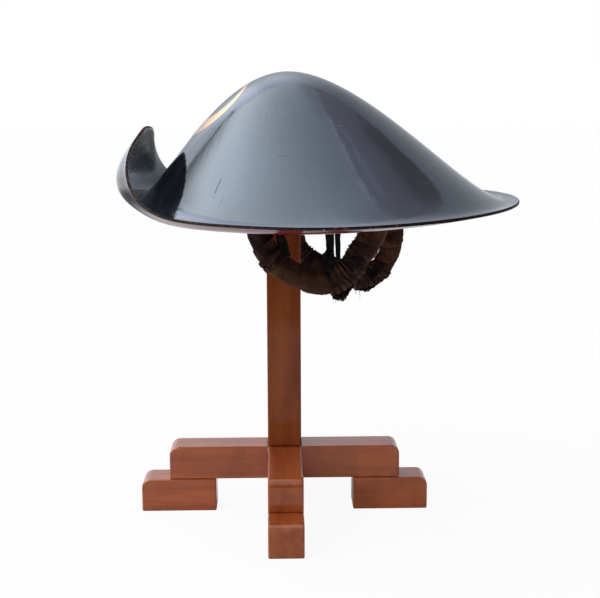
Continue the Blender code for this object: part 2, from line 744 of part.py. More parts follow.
def build_hat(black, cloth, cord, iron, padding):
    hat = add_empty("hat_frame", (HAT_SHIFT, 0.0, HAT_TOP), HAT_TURN)
    build_shell(black, hat)
    build_cushion(padding, hat)
    build_cushion_ties(iron, cord, hat)
    eye_line = eye_height()
    for name, side, tie in (("left", -1, LEFT_TIE), ("right", 1, RIGHT_TIE)):
        for place, x in (("front", FRONT_EYE), ("middle", tie["eye"]), ("back", BACK_EYE)):
            add_staple(f"{name}_{place}_staple", iron, hat, (x, side * LOOP_SIDE, eye_line))
    left = add_empty("left_swing", (0.0, -LOOP_SIDE, eye_line), parent=hat)
    right = add_empty("right_swing", (0.0, LOOP_SIDE, eye_line), parent=hat)
    build_ear_loop("left", LEFT_BEND, LEFT_TIE, LEFT_TAIL, cloth, cord, iron, left)
    build_ear_loop("right", RIGHT_BEND, RIGHT_TIE, RIGHT_TAIL, cloth, cord, iron, right)


def centre_on_floor():
    """Moves everything so that the whole object's box is centred over the origin."""
    graph = bpy.context.evaluated_depsgraph_get()
    points = []
    for thing in bpy.data.objects:
        if thing.type == "MESH" and not thing.hide_render:
            solid = thing.evaluated_get(graph)
            points += [solid.matrix_world @ vertex.co for vertex in solid.data.vertices]
    middle = [(min(p[axis] for p in points) + max(p[axis] for p in points)) / 2
              for axis in (0, 1)]
    for thing in bpy.data.objects:
        if thing.parent is None:
            thing.location -= Vector((middle[0], middle[1], 0.0))


def build():
    for old in list(bpy.data.objects):
        bpy.data.objects.remove(old)
    wood = material("varnished_wood", (0.33, 0.12, 0.045), 0.25)
    steel = material("screw_steel", (0.45, 0.44, 0.42), 0.35, 1.0)
    black = material("black_lacquer", (0.008, 0.009, 0.011), 0.12)
    cloth = material("brown_cloth", (0.055, 0.030, 0.020), 0.9)
    cord = material("black_cord", (0.006, 0.006, 0.008), 0.8)
    iron = material("dark_iron", (0.05, 0.045, 0.04), 0.5, 1.0)
    padding = material("padding_cloth", (0.20, 0.05, 0.05), 0.9)
    build_stand(wood, steel)
    build_hat(black, cloth, cord, iron, padding)
    centre_on_floor()


build()
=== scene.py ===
"""The looks of a lacquered war hat on a wooden stand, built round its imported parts."""
import math

import bpy
import numpy as np
from mathutils import Matrix, Vector


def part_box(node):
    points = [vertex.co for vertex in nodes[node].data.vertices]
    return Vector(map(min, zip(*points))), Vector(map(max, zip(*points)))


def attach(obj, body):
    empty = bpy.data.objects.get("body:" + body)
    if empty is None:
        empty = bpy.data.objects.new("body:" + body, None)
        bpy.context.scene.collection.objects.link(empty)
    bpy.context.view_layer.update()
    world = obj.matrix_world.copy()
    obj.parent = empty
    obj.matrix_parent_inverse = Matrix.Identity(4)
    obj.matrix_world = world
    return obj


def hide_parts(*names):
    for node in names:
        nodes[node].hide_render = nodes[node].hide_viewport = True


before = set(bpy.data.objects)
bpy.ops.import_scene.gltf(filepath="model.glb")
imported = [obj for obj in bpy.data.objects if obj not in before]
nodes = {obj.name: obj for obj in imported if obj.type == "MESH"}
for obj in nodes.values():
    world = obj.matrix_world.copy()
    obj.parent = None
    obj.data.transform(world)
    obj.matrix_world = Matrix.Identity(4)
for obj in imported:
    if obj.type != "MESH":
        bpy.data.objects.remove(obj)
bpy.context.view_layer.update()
scene = bpy.context.scene
scene.view_settings.view_transform = "Standard"

# ---------------------------------------------------------------- places and sizes, in metres

post_low, post_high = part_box("post")
STAND = Vector(((post_low.x + post_high.x) / 2, (post_low.y + post_high.y) / 2, 0.0))
HAT_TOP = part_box("hat_shell")[1].z
HAT = (Matrix.Translation(STAND + Vector((0.0054, 0.0, HAT_TOP)))
       @ Matrix.Rotation(math.radians(-3.5), 4, "Z"))
EYE_LINE, EYE_SIDE = -0.091958, 0.084
PLACE = {side: HAT @ Matrix.Translation((0.0, sign * EYE_SIDE, EYE_LINE))
         for side, sign in (("left", -1), ("right", 1))}
FIT = 0.0003  # gap between pieces that touch

# The shell. Three values are those at the front, at the sides and at the back, and two are a
# swelling at the front: its half angle and its power.
CROWN_REACH = (0.1426, 0.1660, 0.2024)
CROWN_DROP = (0.1181, 0.1286, 0.1180)
FOLD_LIFT, FOLD_LIFT_SHAPE = 0.0025, (88, 8)
CROWN_FULLNESS = (0.485, 0.429, 0.350)
CROWN_FLARE = (0.156, 0.249, 0.166)
BRIM_WIDTH = (0.0800, 0.0202, 0.0117)
BRIM_TURN = (129.2, 23.3, 8.9)
FLAP_TURN, FLAP_WIDTH = (40.2, 3.3), (33.6, 2.84)
SHELL = 0.0025
ACROSS = (0.0, 1.0, 0.0)  # from the hat's left to its right

# The lacquer: the gold ring's outer and inner ellipse (middle, half length, half width), then
# marks (angle round the hat, distance from its top, half width, half height)
GOLD_RING = ((0.0745, 0.0385, 0.0455), (0.0662, 0.0255, 0.0340))
SCRATCHES = ((1.066, 0.162, 0.0010, 0.0165), (1.57, 0.1272, 0.0055, 0.0004),
             (1.15, 0.1704, 0.0007, 0.0045))
CHIPS = ((0.84, 0.0300, 0.0006, 0.0005), (1.566, 0.1111, 0.0005, 0.0006),
         (1.452, 0.0753, 0.0005, 0.0005), (1.615, 0.062, 0.0006, 0.0005),
         (1.757, 0.0696, 0.0005, 0.0005))

CUSHION = (0.125, 0.100)  # length and width
LINING_GAP = 0.0009

# The ear loops, from a point between their eyes, x back and z up
LOOP_RADIUS, NECK_RADIUS = 0.0106, 0.0042
NECK_TOP, NECK_LENGTH = 0.0065, 0.026
FRONT_EYE, BACK_EYE = -0.022, 0.095
BEND = {"left": ((-0.022, -0.047), (-0.009, -0.072), (0.012, -0.086), (0.033, -0.092),
                 (0.052, -0.084), (0.067, -0.066), (0.079, -0.046)),
        "right": ((-0.006, -0.052), (0.006, -0.086), (0.030, -0.104), (0.062, -0.114),
                  (0.087, -0.106), (0.099, -0.084), (0.101, -0.050))}
PLEAT = 0.0046  # from one pleat of the wrapping to the next

# The ties: where their ring and foot are, and how far their legs are apart at the foot
TIE = {"left": (-0.0085, -0.0100, 0.0045), "right": (0.0460, 0.0370, 0.0075)}
TIE_RADIUS, TAPE_THICK = 0.00175, 0.0012
RING_RADIUS, RING_WIRE, STAPLE_WIRE = 0.007, 0.0011, 0.0009
RING_DROP = RING_RADIUS - RING_WIRE - STAPLE_WIRE - FIT
TIE_TURN = RING_WIRE + FIT + TIE_RADIUS


# ---------------------------------------------------------------- node trees as arithmetic


class Value:
    """A socket of a node tree that can be added, multiplied and so on."""

    def __init__(self, tree, socket):
        self.tree, self.socket = tree, socket

    def __add__(self, other):
        return self.tree.math("ADD", self, other)

    def __sub__(self, other):
        return self.tree.math("SUBTRACT", self, other)

    def __rsub__(self, other):
        return self.tree.math("SUBTRACT", other, self)

    def __mul__(self, other):
        return self.tree.math("MULTIPLY", self, other)

    def __truediv__(self, other):
        return self.tree.math("DIVIDE", self, other)

    def __pow__(self, other):
        return self.tree.math("POWER", self, other)

    __radd__, __rmul__ = __add__, __mul__

    def step(self, low, high):
        """0 up to low and 1 from high on, or the other way round where low is above high."""
        low, high, start, end = (low, high, 0.0, 1.0) if low < high else (high, low, 1.0, 0.0)
        inputs = {"Value": self, "From Min": low, "From Max": high, "To Min": start, "To Max": end}
        return self.tree.made("ShaderNodeMapRange", "Result", inputs,
                              interpolation_type="SMOOTHSTEP")

    def limit(self):
        return self.tree.math("ADD", self, 0.0, clamp=True)

    def within(self, middle, half, soft):
        """1 near the middle value, 0 further off than half."""
        return self.tree.math("ABSOLUTE", self - middle).step(half + soft, half - soft)


class Tree:
    def __init__(self, tree):
        self.tree = tree
        tree.nodes.clear()

    def node(self, kind, **settings):
        made = self.tree.nodes.new(kind)
        for name, value in settings.items():
            setattr(made, name, value)
        return made

    def join(self, value, socket):
        if isinstance(value, Value):
            self.tree.links.new(value.socket, socket)
        else:
            socket.default_value = value

    def made(self, kind, out, inputs=None, **settings):
        """What comes out of a new node with these inputs and settings."""
        node = self.node(kind, **settings)
        for name, value in (inputs or {}).items():
            self.join(value, node.inputs[name])
        return Value(self, node.outputs[out])

    def finish(self, shader, kind="ShaderNodeOutputMaterial"):
        self.tree.links.new(shader.outputs[0], self.node(kind).inputs[0])

    def math(self, operation, *values, clamp=False):
        return self.made("ShaderNodeMath", 0, dict(enumerate(values)), operation=operation,
                         use_clamp=clamp)

    def place(self, kind="Object"):
        return self.made("ShaderNodeTexCoord", kind)

    def split(self, vector):
        made = self.node("ShaderNodeSeparateXYZ")
        self.join(vector, made.inputs[0])
        return [Value(self, out) for out in made.outputs]

    def vector(self, *values):
        return self.made("ShaderNodeCombineXYZ", 0, dict(enumerate(values)))

    def moved(self, vector, scale=(1, 1, 1), offset=(0, 0, 0), turn=(0, 0, 0)):
        return self.made("ShaderNodeMapping", 0, {
            "Vector": vector, "Scale": scale, "Location": offset,
            "Rotation": [math.radians(angle) for angle in turn]})

    def attribute(self, name, out="Fac"):
        return self.made("ShaderNodeAttribute", out, attribute_name=name)

    def noise(self, vector, scale, detail, rough=0.5, bend=0.0):
        return self.made("ShaderNodeTexNoise", "Fac", {
            "Vector": vector, "Scale": scale, "Detail": detail, "Roughness": rough,
            "Distortion": bend})

    def cells(self, vector, scale):
        return self.made("ShaderNodeTexVoronoi", "Distance", {"Vector": vector, "Scale": scale})

    def mix(self, share, a, b):
        """A colour between a and b."""
        made = self.node("ShaderNodeMix", data_type="RGBA")
        self.join(share, made.inputs["Factor"])
        inputs = [socket for socket in made.inputs if socket.type == "RGBA"]
        for value, socket in zip((a, b), inputs):
            self.join(value if isinstance(value, Value) else (*value, 1.0), socket)
        return Value(self, next(out for out in made.outputs if out.type == "RGBA"))

    def layered(self, colour, *layers):
        """A colour with others laid over it in turn, each by its share."""
        for share, over in layers:
            colour = self.mix(share, colour, over)
        return colour

    def bump(self, height, distance, strength):
        return self.made("ShaderNodeBump", 0, {
            "Height": height, "Distance": distance, "Strength": strength})


def material(name, paint):
    """A material whose Principled sockets get what paint(tree) returns."""
    made = bpy.data.materials.new(name)
    made.use_nodes = True
    tree = Tree(made.node_tree)
    shader = tree.node("ShaderNodeBsdfPrincipled")
    tree.finish(shader)
    for socket, value in paint(tree).items():
        tree.join((*value, 1.0) if isinstance(value, tuple) else value, shader.inputs[socket])
    return made


# ---------------------------------------------------------------- materials


def wood(name, grain, seed, tone, gloss):
    """Varnished orange-brown wood with its grain along one axis."""
    stretch = [0.07 if axis == grain else 1.0 for axis in range(3)]

    def shade(red, green, blue):
        return red * tone, green * tone, blue * tone

    def paint(tree):
        place = tree.place()
        grown = tree.moved(place, stretch, (seed, seed * 0.7, seed * 0.3))
        lines = tree.noise(grown, 520.0, 3.0, 0.6)
        figure = tree.noise(grown, 90.0, 2.0, 0.5, 0.6)
        slant = tree.noise(tree.moved(place, (1, 1, 0.5), turn=(0, 35, 20)), 38.0, 2.0, 0.5, 0.4)
        cloud = tree.noise(place, 11.0, 2.0)
        pores = tree.noise(grown, 1500.0, 1.0).step(0.62, 0.72)
        specks = tree.cells(place, 420.0).step(0.20, 0.12)
        colour = tree.layered(
            shade(0.330, 0.074, 0.016),
            (figure.step(0.35, 0.68), shade(0.235, 0.046, 0.009)),
            (lines.step(0.45, 0.75) * 0.35, shade(0.150, 0.028, 0.006)),
            (cloud.step(0.3, 0.75) * 0.35, shade(0.400, 0.100, 0.024)),
            (slant.step(0.52, 0.62) * 0.22, shade(0.120, 0.024, 0.006)),
            (pores * 0.3, (0.070, 0.014, 0.005)),
            (specks * cloud.step(0.45, 0.6) * 0.25, (0.60, 0.28, 0.14)))
        skin = tree.noise(place, 60.0, 2.0)
        return {"Base Color": colour, "Roughness": 0.35 + 0.15 * lines, "Specular IOR Level": 0.1,
                "Normal": tree.bump(lines * 0.6 + figure + skin * 2.0, 0.00012, 0.25),
                "Coat Weight": gloss, "Coat Roughness": 0.07, "Coat IOR": 1.5}

    return material(name, paint)


def paint_steel(tree):
    place = tree.place()
    brush = tree.noise(tree.moved(place, (1, 1, 0.05)), 2200.0, 2.0)
    stain = tree.noise(place, 300.0, 3.0)
    return {"Base Color": tree.mix(stain.step(0.5, 0.8), (0.50, 0.49, 0.47), (0.30, 0.27, 0.23)),
            "Metallic": 1.0, "Roughness": 0.25 + 0.25 * brush}


def paint_iron(tree):
    place = tree.place()
    rust = tree.noise(place, 420.0, 4.0, 0.6)
    pits = tree.noise(place, 1800.0, 2.0)
    rusty = rust.step(0.5, 0.72)
    return {"Base Color": tree.mix(rusty, (0.040, 0.037, 0.035), (0.085, 0.040, 0.022)),
            "Metallic": 1.0 - 0.6 * rusty, "Roughness": 0.38 + 0.3 * rust,
            "Normal": tree.bump(pits + rust, 0.0002, 0.5)}


def paint_lacquer(tree):
    """Black lacquer, brushed on in level strokes, with the gold ring, scratches and chips, and a
    painted reflection on the flap.
    """
    place = tree.place()
    s, t, _ = tree.split(tree.attribute("unrolled", "Vector"))
    around_, down_, _ = tree.split(tree.attribute("strokes", "Vector"))
    flap = tree.attribute("flap").step(0.25, 0.8)

    def mark(angle, reach, wide, high):
        soft = 0.0004
        return (around_.within(angle, wide / reach, soft / reach)
                * down_.within(reach, high, soft))

    strokes = tree.noise(tree.vector(around_ * 9.0, down_ * 900.0, 0.0), 1.0, 3.0, 0.6)
    waves = tree.noise(tree.vector(around_ * 16.0, down_ * 60.0, 3.0), 1.0, 2.0)
    haze = tree.noise(place, 26.0, 4.0, 0.55)
    dust = tree.noise(place, 1400.0, 2.0).step(0.66, 0.75)
    outer, inner = ((((s - middle) / length) ** 2 + (t / width) ** 2) ** 0.5
                    for middle, length, width in GOLD_RING)
    ragged = tree.noise(place, 700.0, 2.0) * 0.014
    band = (outer + ragged).step(1.016, 1.0) * (inner + ragged).step(1.0, 1.016)
    worn = tree.noise(place, 240.0, 4.0, 0.65).step(0.60, 0.72)
    gold = band * (1.0 - worn * 0.5)
    lines = tree.noise(tree.moved(place, (1.0, 3.0, 14.0), turn=(0, 38, 12)), 30.0, 1.0, 0.4)
    hairline = lines.within(0.5, 0.0035, 0.002) * haze.step(0.52, 0.62)
    grain = tree.noise(place, 110.0, 2.0)
    long_, level_, short = (mark(*scratch) for scratch in SCRATCHES)
    dull = long_ * grain.step(0.38, 0.50) + level_ + short * 0.6
    chips = sum(mark(*chip) for chip in CHIPS).limit()
    fleck = tree.cells(place, 75.0).step(0.050, 0.030) * haze.step(0.57, 0.6) + chips
    rub = tree.noise(place, 170.0, 3.0, 0.6).step(0.42, 0.66)
    rub = tree.attribute("rub").step(0.35, 0.9) * rub
    scuff = tree.noise(tree.moved(place, (1, 1, 1.6)), 45.0, 3.0, 0.5).step(0.42, 0.66) * flap
    tip = flap * down_.step(0.178, 0.212)
    colour = tree.layered(
        (0.0045, 0.0055, 0.0070),
        (haze.step(0.3, 0.8), (0.010, 0.013, 0.017)),
        # The flap's lacquer is painted lighter, and blue-grey towards its tip: painted reflection
        # on the inside of the curl. The scuffs laid over it are wear.
        (flap * 0.8, (0.011, 0.012, 0.014)),
        (tip * 0.7, (0.055, 0.060, 0.068)),
        (scuff * (0.3 + 0.3 * tip), (0.090, 0.078, 0.074)),
        (dust * 0.25 + hairline * 0.3, (0.10, 0.12, 0.13)),
        (gold, (0.60, 0.37, 0.19)),
        (dull, (0.020, 0.030, 0.045)),
        (fleck, (0.055, 0.022, 0.012)),
        (rub, (0.060, 0.028, 0.018)))
    rough = (0.05 + 0.04 * haze + 0.15 * flap + 0.12 * scuff + 0.24 * gold + 0.3 * rub
             + 0.15 * hairline + 0.3 * dull)
    worn_through = (dull * 0.55 + chips * 0.8 + strokes.step(0.58, 0.78) * 0.08) * (1.0 - gold)
    return {"Base Color": colour, "Metallic": gold + worn_through, "Roughness": rough,
            "IOR": 1.80, "Specular Tint": (0.66, 0.80, 1.0),
            "Normal": tree.bump(strokes * 0.30 + waves * 1.1 + hairline * 0.2 - fleck * 0.5
                                - dull * 0.2, 0.0003, 0.30)}


def paint_rim(tree):
    """The brim's edge: black, worn to brown undercoat round the flap and in flecks elsewhere."""
    place = tree.place()
    wear = tree.noise(place, 260.0, 4.0, 0.65) + 0.11 * tree.attribute("flap")
    deep = tree.noise(place, 110.0, 3.0, 0.6)
    brown = wear.step(0.56, 0.63)
    colour = tree.mix(brown, (0.007, 0.007, 0.008), (0.095, 0.040, 0.022))
    colour = tree.mix(deep.step(0.70, 0.73), colour, (0.40, 0.30, 0.26))
    return {"Base Color": colour, "Roughness": 0.50 + 0.3 * brown, "Specular IOR Level": 0.08,
            "Normal": tree.bump(wear, 0.0004, 0.6)}


def paint_red(tree):
    """Red lacquer inside, black under the turned-up flap, fading into each other."""
    place = tree.place()
    strokes = tree.noise(tree.moved(place, (1, 1, 8)), 60.0, 3.0)
    haze = tree.noise(place, 30.0, 3.0)
    edge = tree.noise(place, 60.0, 4.0, 0.6) * 0.10
    dark = (tree.attribute("flap") + edge).step(0.14, 0.30)
    red = tree.mix(haze.step(0.3, 0.75), (0.155, 0.010, 0.016), (0.102, 0.007, 0.010))
    black = tree.mix(haze.step(0.35, 0.7), (0.005, 0.006, 0.007), (0.014, 0.015, 0.017))
    scuff = tree.noise(tree.moved(place, (1, 1, 3)), 130.0, 4.0, 0.7).step(0.62, 0.75)
    black = tree.mix(scuff * 0.5, black, (0.055, 0.048, 0.045))
    return {"Base Color": tree.mix(dark, red, black),
            "Roughness": 0.10 + 0.16 * scuff + 0.08 * haze, "IOR": 1.50,
            "Specular Tint": (0.86, 0.78, 1.0),
            "Normal": tree.bump(strokes + scuff * 0.4, 0.0003, 0.30)}


def cloth(name, light, dark, worn):
    """Old coarse cotton, woven at about 14 threads to the centimetre, rubbed and painted lighter on
    its folds, with painted shade in its hollows.
    """

    def paint(tree):
        place = tree.place()
        weave_a = tree.noise(tree.moved(place, (9, 1.2, 9)), 160.0, 1.0)
        weave_b = tree.noise(tree.moved(place, (1.2, 9, 1.2)), 160.0, 1.0)
        threads = tree.cells(place, 1400.0)
        stain = tree.noise(place, 55.0, 4.0, 0.6)
        high, shade = tree.attribute("high"), tree.attribute("shade")
        colour = tree.layered(
            dark,
            (stain.step(0.3, 0.72), light),
            # Purple-black where the 'shade' field is high: partly painted shade, partly the cloth's
            # own darker tone.
            ((shade + stain * 0.6).step(0.75, 1.15), (0.011, 0.006, 0.009)),
            # Lighter on the raised folds: rubbed wear and painted highlight.
            ((high * 1.6 - 0.75).limit() * stain.step(0.35, 0.6) * 0.6, worn),
            # Near black where the cloth lies low, in creases and under edges: painted shade.
            ((0.40 - high).limit() * 1.6, (0.004, 0.003, 0.003)))
        fuzz = weave_a * 0.5 + weave_b * 0.5 + threads * 0.6
        return {"Base Color": colour, "Roughness": 0.95,
                "Sheen Weight": 0.10, "Sheen Roughness": 0.5, "Sheen Tint": (0.55, 0.36, 0.24),
                "Specular IOR Level": 0.1, "Normal": tree.bump(fuzz, 0.0007, 0.6)}

    return material(name, paint)


def paint_cord(tree):
    place = tree.place()
    fibre = tree.noise(place, 2600.0, 2.0)
    dust = tree.noise(place, 260.0, 3.0)
    colour = tree.mix(dust.step(0.45, 0.8) * 0.7, (0.0055, 0.0055, 0.006), (0.030, 0.024, 0.020))
    return {"Base Color": colour, "Roughness": 0.85, "Specular IOR Level": 0.25,
            "Sheen Weight": 0.15, "Sheen Roughness": 0.4,
            "Normal": tree.bump(fibre, 0.0003, 0.5)}


# The post's wood (up) is given a darker tone than the beams' wood: partly its own tone, partly
# painted shade from the hat above it.
WOOD = {"along": wood("wood_along", 0, 0.31, 1.18, 0.95),
        "cross": wood("wood_cross", 1, 1.73, 1.0, 0.8), "up": wood("wood_up", 2, 2.41, 0.78, 0.3)}
STEEL = material("screw_steel", paint_steel)
IRON = material("dark_iron", paint_iron)
LACQUER = material("black_lacquer", paint_lacquer)
RIM = material("worn_rim", paint_rim)
RED = material("red_lacquer", paint_red)
WRAP = cloth("brown_wrapping", (0.078, 0.035, 0.018), (0.028, 0.013, 0.009),
             (0.185, 0.092, 0.050))
PADDING = cloth("cushion_cloth", (0.230, 0.060, 0.050), (0.120, 0.032, 0.028),
                (0.330, 0.130, 0.100))
CORD = material("black_cord", paint_cord)


# ---------------------------------------------------------------- mesh helpers


def add_mesh(name, points, faces, looks, kinds=None, smooth=True, fields=None):
    mesh = bpy.data.meshes.new(name)
    mesh.from_pydata([tuple(p) for p in points], [], faces)
    for look in looks:
        mesh.materials.append(look)
    if kinds is not None:
        mesh.polygons.foreach_set("material_index", kinds)
    for field, values in (fields or {}).items():
        values = np.asarray(values, np.float32)
        flat = values.ndim == 1
        made = mesh.attributes.new(field, "FLOAT" if flat else "FLOAT_VECTOR", "POINT")
        made.data.foreach_set("value" if flat else "vector", values.ravel())
    if smooth:
        mesh.shade_smooth()
    mesh.validate()
    made = bpy.data.objects.new(name, mesh)
    scene.collection.objects.link(made)
    return made


def modifier(piece, kind, **settings):
    made = piece.modifiers.new(kind.lower(), kind)
    for name, value in settings.items():
        setattr(made, name, value)


def dress(piece, look, weld=True):
    """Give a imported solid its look, with its doubled points welded."""
    piece.data.materials.clear()
    piece.data.materials.append(look)
    if weld:
        modifier(piece, "WELD", merge_threshold=0.00002)


def finish_piece(piece, body, slot, *replaced):
    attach(piece, body)
    if replaced:
        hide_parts(*replaced)
    return piece


def transform(points, matrix):
    points = np.asarray(points, float)
    turn = np.array(matrix.to_3x3())
    return points @ turn.T + np.array(matrix.translation)


def lattice_noise(points, seed):
    """Smooth random values from -1 to 1 at 3-D points given in units of one cell."""
    points = np.asarray(points, float)
    cell = np.floor(points).astype(np.int64)
    part = points - cell
    ease = part * part * (3 - 2 * part)
    total = np.zeros(len(points))
    for corner in range(8):
        step = np.array([(corner >> k) & 1 for k in range(3)])
        spot = cell + step
        code = (spot[:, 0] * 73856093) ^ (spot[:, 1] * 19349663) ^ (spot[:, 2] * 83492791)
        code = (code ^ (seed * 2654435761)) & 0xFFFFFFFF
        code = ((code ^ (code >> 15)) * 2246822519) & 0xFFFFFFFF
        code = ((code ^ (code >> 13)) * 3266489917) & 0xFFFFFFFF
        value = ((code ^ (code >> 16)) & 0xFFFF) / 32767.5 - 1
        weight = np.prod(np.where(step == 1, ease, 1 - ease), axis=1)
        total += value * weight
    return total


def rough_noise(points, seed, octaves=3):
    total, size = 0.0, 1.0
    for octave in range(octaves):
        total = total + lattice_noise(np.asarray(points) / size, seed + octave) * size
        size *= 0.5
    return total


def smooth_route(points, count):
    points = np.asarray(points, float)
    padded = np.vstack([2 * points[0] - points[1], points, 2 * points[-1] - points[-2]])
    fine = []
    for a, b, c, d in zip(padded, padded[1:], padded[2:], padded[3:]):
        for t in np.linspace(0, 1, 24, endpoint=False):
            fine.append(0.5 * (2 * b + (c - a) * t + (2 * a - 5 * b + 4 * c - d) * t**2
                               + (3 * b - a - 3 * c + d) * t**3))
    fine = np.vstack([fine, points[-1]])
    reach = reach_of(fine)
    even = np.linspace(0, reach[-1], count)
    return np.stack([np.interp(even, reach, fine[:, i]) for i in range(fine.shape[1])], axis=1)


def sections(route, across):
    """For each point of a route, the two directions of its section."""
    ahead = np.gradient(route, axis=0)
    if np.allclose(route[0], route[-1]):
        ahead[0] = ahead[-1] = route[1] - route[-2]
    ahead /= np.linalg.norm(ahead, axis=1)[:, None]
    first = np.cross(ahead, across)
    first /= np.linalg.norm(first, axis=1)[:, None]
    return first, np.cross(ahead, first)


def reach_of(route):
    """How far each point of a route is from its start, along it."""
    return np.r_[0, np.cumsum(np.linalg.norm(np.diff(route, axis=0), axis=1))]


def rows_round(route, radii, turns, first, second):
    """Points round each point of a route, at some radii and turns."""
    return (route[:, None] + (radii * np.cos(turns))[..., None] * first[:, None]
            + (radii * np.sin(turns))[..., None] * second[:, None]).reshape(-1, 3)


def tube_faces(rows, sides, ring=False):
    """Faces of a tube, closed at its ends or made into a ring."""
    faces = []
    for row in range(rows if ring else rows - 1):
        a, b = row * sides, (row + 1) % rows * sides
        for i in range(sides):
            k = (i + 1) % sides
            faces.append((a + i, a + k, b + k, b + i))
    if not ring:
        faces.append(tuple(range(sides))[::-1])
        faces.append(tuple(range((rows - 1) * sides, rows * sides)))
    return faces


def tube(route, radius, sides, across=ACROSS):
    """Points and faces of a tube, closed at its ends or, along a closed route, a ring."""
    route = np.asarray(route, float)
    ring = np.allclose(route[0], route[-1])
    turns = 2 * math.pi * np.arange(sides) / sides
    radii = np.broadcast_to(radius, (len(route),))[:, None] * np.ones(sides)
    count = len(route) - 1 if ring else len(route)
    points = rows_round(route, radii, turns, *sections(route, across))
    return points[:count * sides], tube_faces(count, sides, ring)


def joined(parts):
    """One list of points and faces from several."""
    points, faces, base = [], [], 0
    for some, made in parts:
        points.append(some)
        faces += [tuple(i + base for i in face) for face in made]
        base += len(some)
    return np.vstack(points), faces


# ---------------------------------------------------------------- stand


def dress_stand():
    grains = {"base_beam_long": "along", "base_beam_cross": "cross", "post": "up",
              "head_disc": "along", "foot_front": "along", "foot_back": "along",
              "foot_left": "cross", "foot_right": "cross"}
    for name, grain in grains.items():
        dress(nodes[name], WOOD[grain])
        modifier(nodes[name], "BEVEL", width=0.0004, segments=2, limit_method="ANGLE",
                 angle_limit=math.radians(25), harden_normals=True)
    for name, body in nodes.items():
        if "screw" in name:
            dress(body, STEEL, weld=False)
    inset, sunk = 0.0002, 0.0001
    for end, beam, grain in (("front", "long", "along"), ("back", "long", "along"),
                             ("left", "cross", "cross"), ("right", "cross", "cross")):
        (a, b), (c, d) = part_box(f"foot_{end}"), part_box(f"base_beam_{beam}")
        glue_line(f"glue_line_{end}", (max(a.x, c.x) + inset, max(a.y, c.y) + inset, b.z),
                  (min(b.x, d.x) - inset, min(b.y, d.y) - inset, c.z), WOOD[grain])
    low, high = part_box("post")
    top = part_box("base_beam_long")[1].z - sunk
    glue_line("glue_line_post", (low.x - FIT, low.y - FIT, top - 0.0008),
              (high.x + FIT, high.y + FIT, top), WOOD["up"])


def glue_line(name, low, high, look):
    """A thin seam of glue between two boards, with a slightly uneven edge."""
    steps = 40
    rim = []
    for k in range(4 * steps):
        side, share = divmod(k, steps)
        share /= steps
        x, y = ((share, 0), (1, share), (1 - share, 1), (0, 1 - share))[side]
        rim.append((x * 2 - 1, y * 2 - 1))
    rim = np.array(rim)
    inset = 0.00006 * rough_noise(np.c_[rim * 40, rim[:, :1]], 4)
    x, y = (low[k] + (high[k] - low[k]) * (rim[:, k] + 1) / 2 - rim[:, k] * inset for k in (0, 1))
    points = [(*spot, z) for z in (low[2], high[2]) for spot in zip(x, y)]
    seam = add_mesh(name, points, tube_faces(2, len(rim)), [look], smooth=False)
    finish_piece(seam, "stand", "varnished_wood")


# ---------------------------------------------------------------- hat shell


def around(sizes, angle):
    front, side, back = sizes
    ends = (front + back) / 2
    return ((ends + side) / 2 + (front - back) / 2 * np.cos(angle)
            + (ends - side) / 2 * np.cos(2 * angle))


def swell(angle, spread, power):
    return np.exp(-np.abs(angle / math.radians(spread)) ** power)


def fold(angle):
    level = around((CROWN_DROP[1], CROWN_DROP[1], CROWN_DROP[2]), angle)
    drop = level + (CROWN_DROP[0] - CROWN_DROP[1]) * swell(angle, *FLAP_TURN)
    return around(CROWN_REACH, angle), FOLD_LIFT * swell(angle, *FOLD_LIFT_SHAPE) - drop


def crown_point(share, angle):
    radius, height = fold(angle)
    fullness, flare = around(CROWN_FULLNESS, angle), around(CROWN_FLARE, angle)
    rest = 1 - share
    r = (3 * share * rest**2 * fullness + 3 * share**2 * rest * (1 - flare) + share**3) * radius
    z = (3 * share**2 * rest + share**3) * height
    return r, z


def brim_curve(angle, steps):
    """Radius and height at each of a number of steps from the fold to the edge."""
    width = around((BRIM_WIDTH[1], BRIM_WIDTH[1], BRIM_WIDTH[2]), angle)
    width = width + (BRIM_WIDTH[0] - BRIM_WIDTH[1]) * swell(angle, *FLAP_WIDTH)
    turn = around((BRIM_TURN[1], BRIM_TURN[1], BRIM_TURN[2]), angle)
    turn = turn + (BRIM_TURN[0] - BRIM_TURN[1]) * swell(angle, *FLAP_TURN)
    share = (np.arange(steps)[:, None] + 0.5) / steps
    slope = np.radians(turn)[None] * (1 - (1 - share) ** 3.0)
    r, z = fold(angle)
    return (r + np.cumsum(np.cos(slope) * width / steps, axis=0),
            z + np.cumsum(np.sin(slope) * width / steps, axis=0))


def crown_height(x, y):
    angle = math.atan2(-y, -x)
    radius = math.hypot(x, y)
    low, high = 0.0, 1.0
    for _ in range(30):
        middle = (low + high) / 2
        if crown_point(middle, angle)[0] < radius:
            low = middle
        else:
            high = middle
    return crown_point(low, angle)[1]


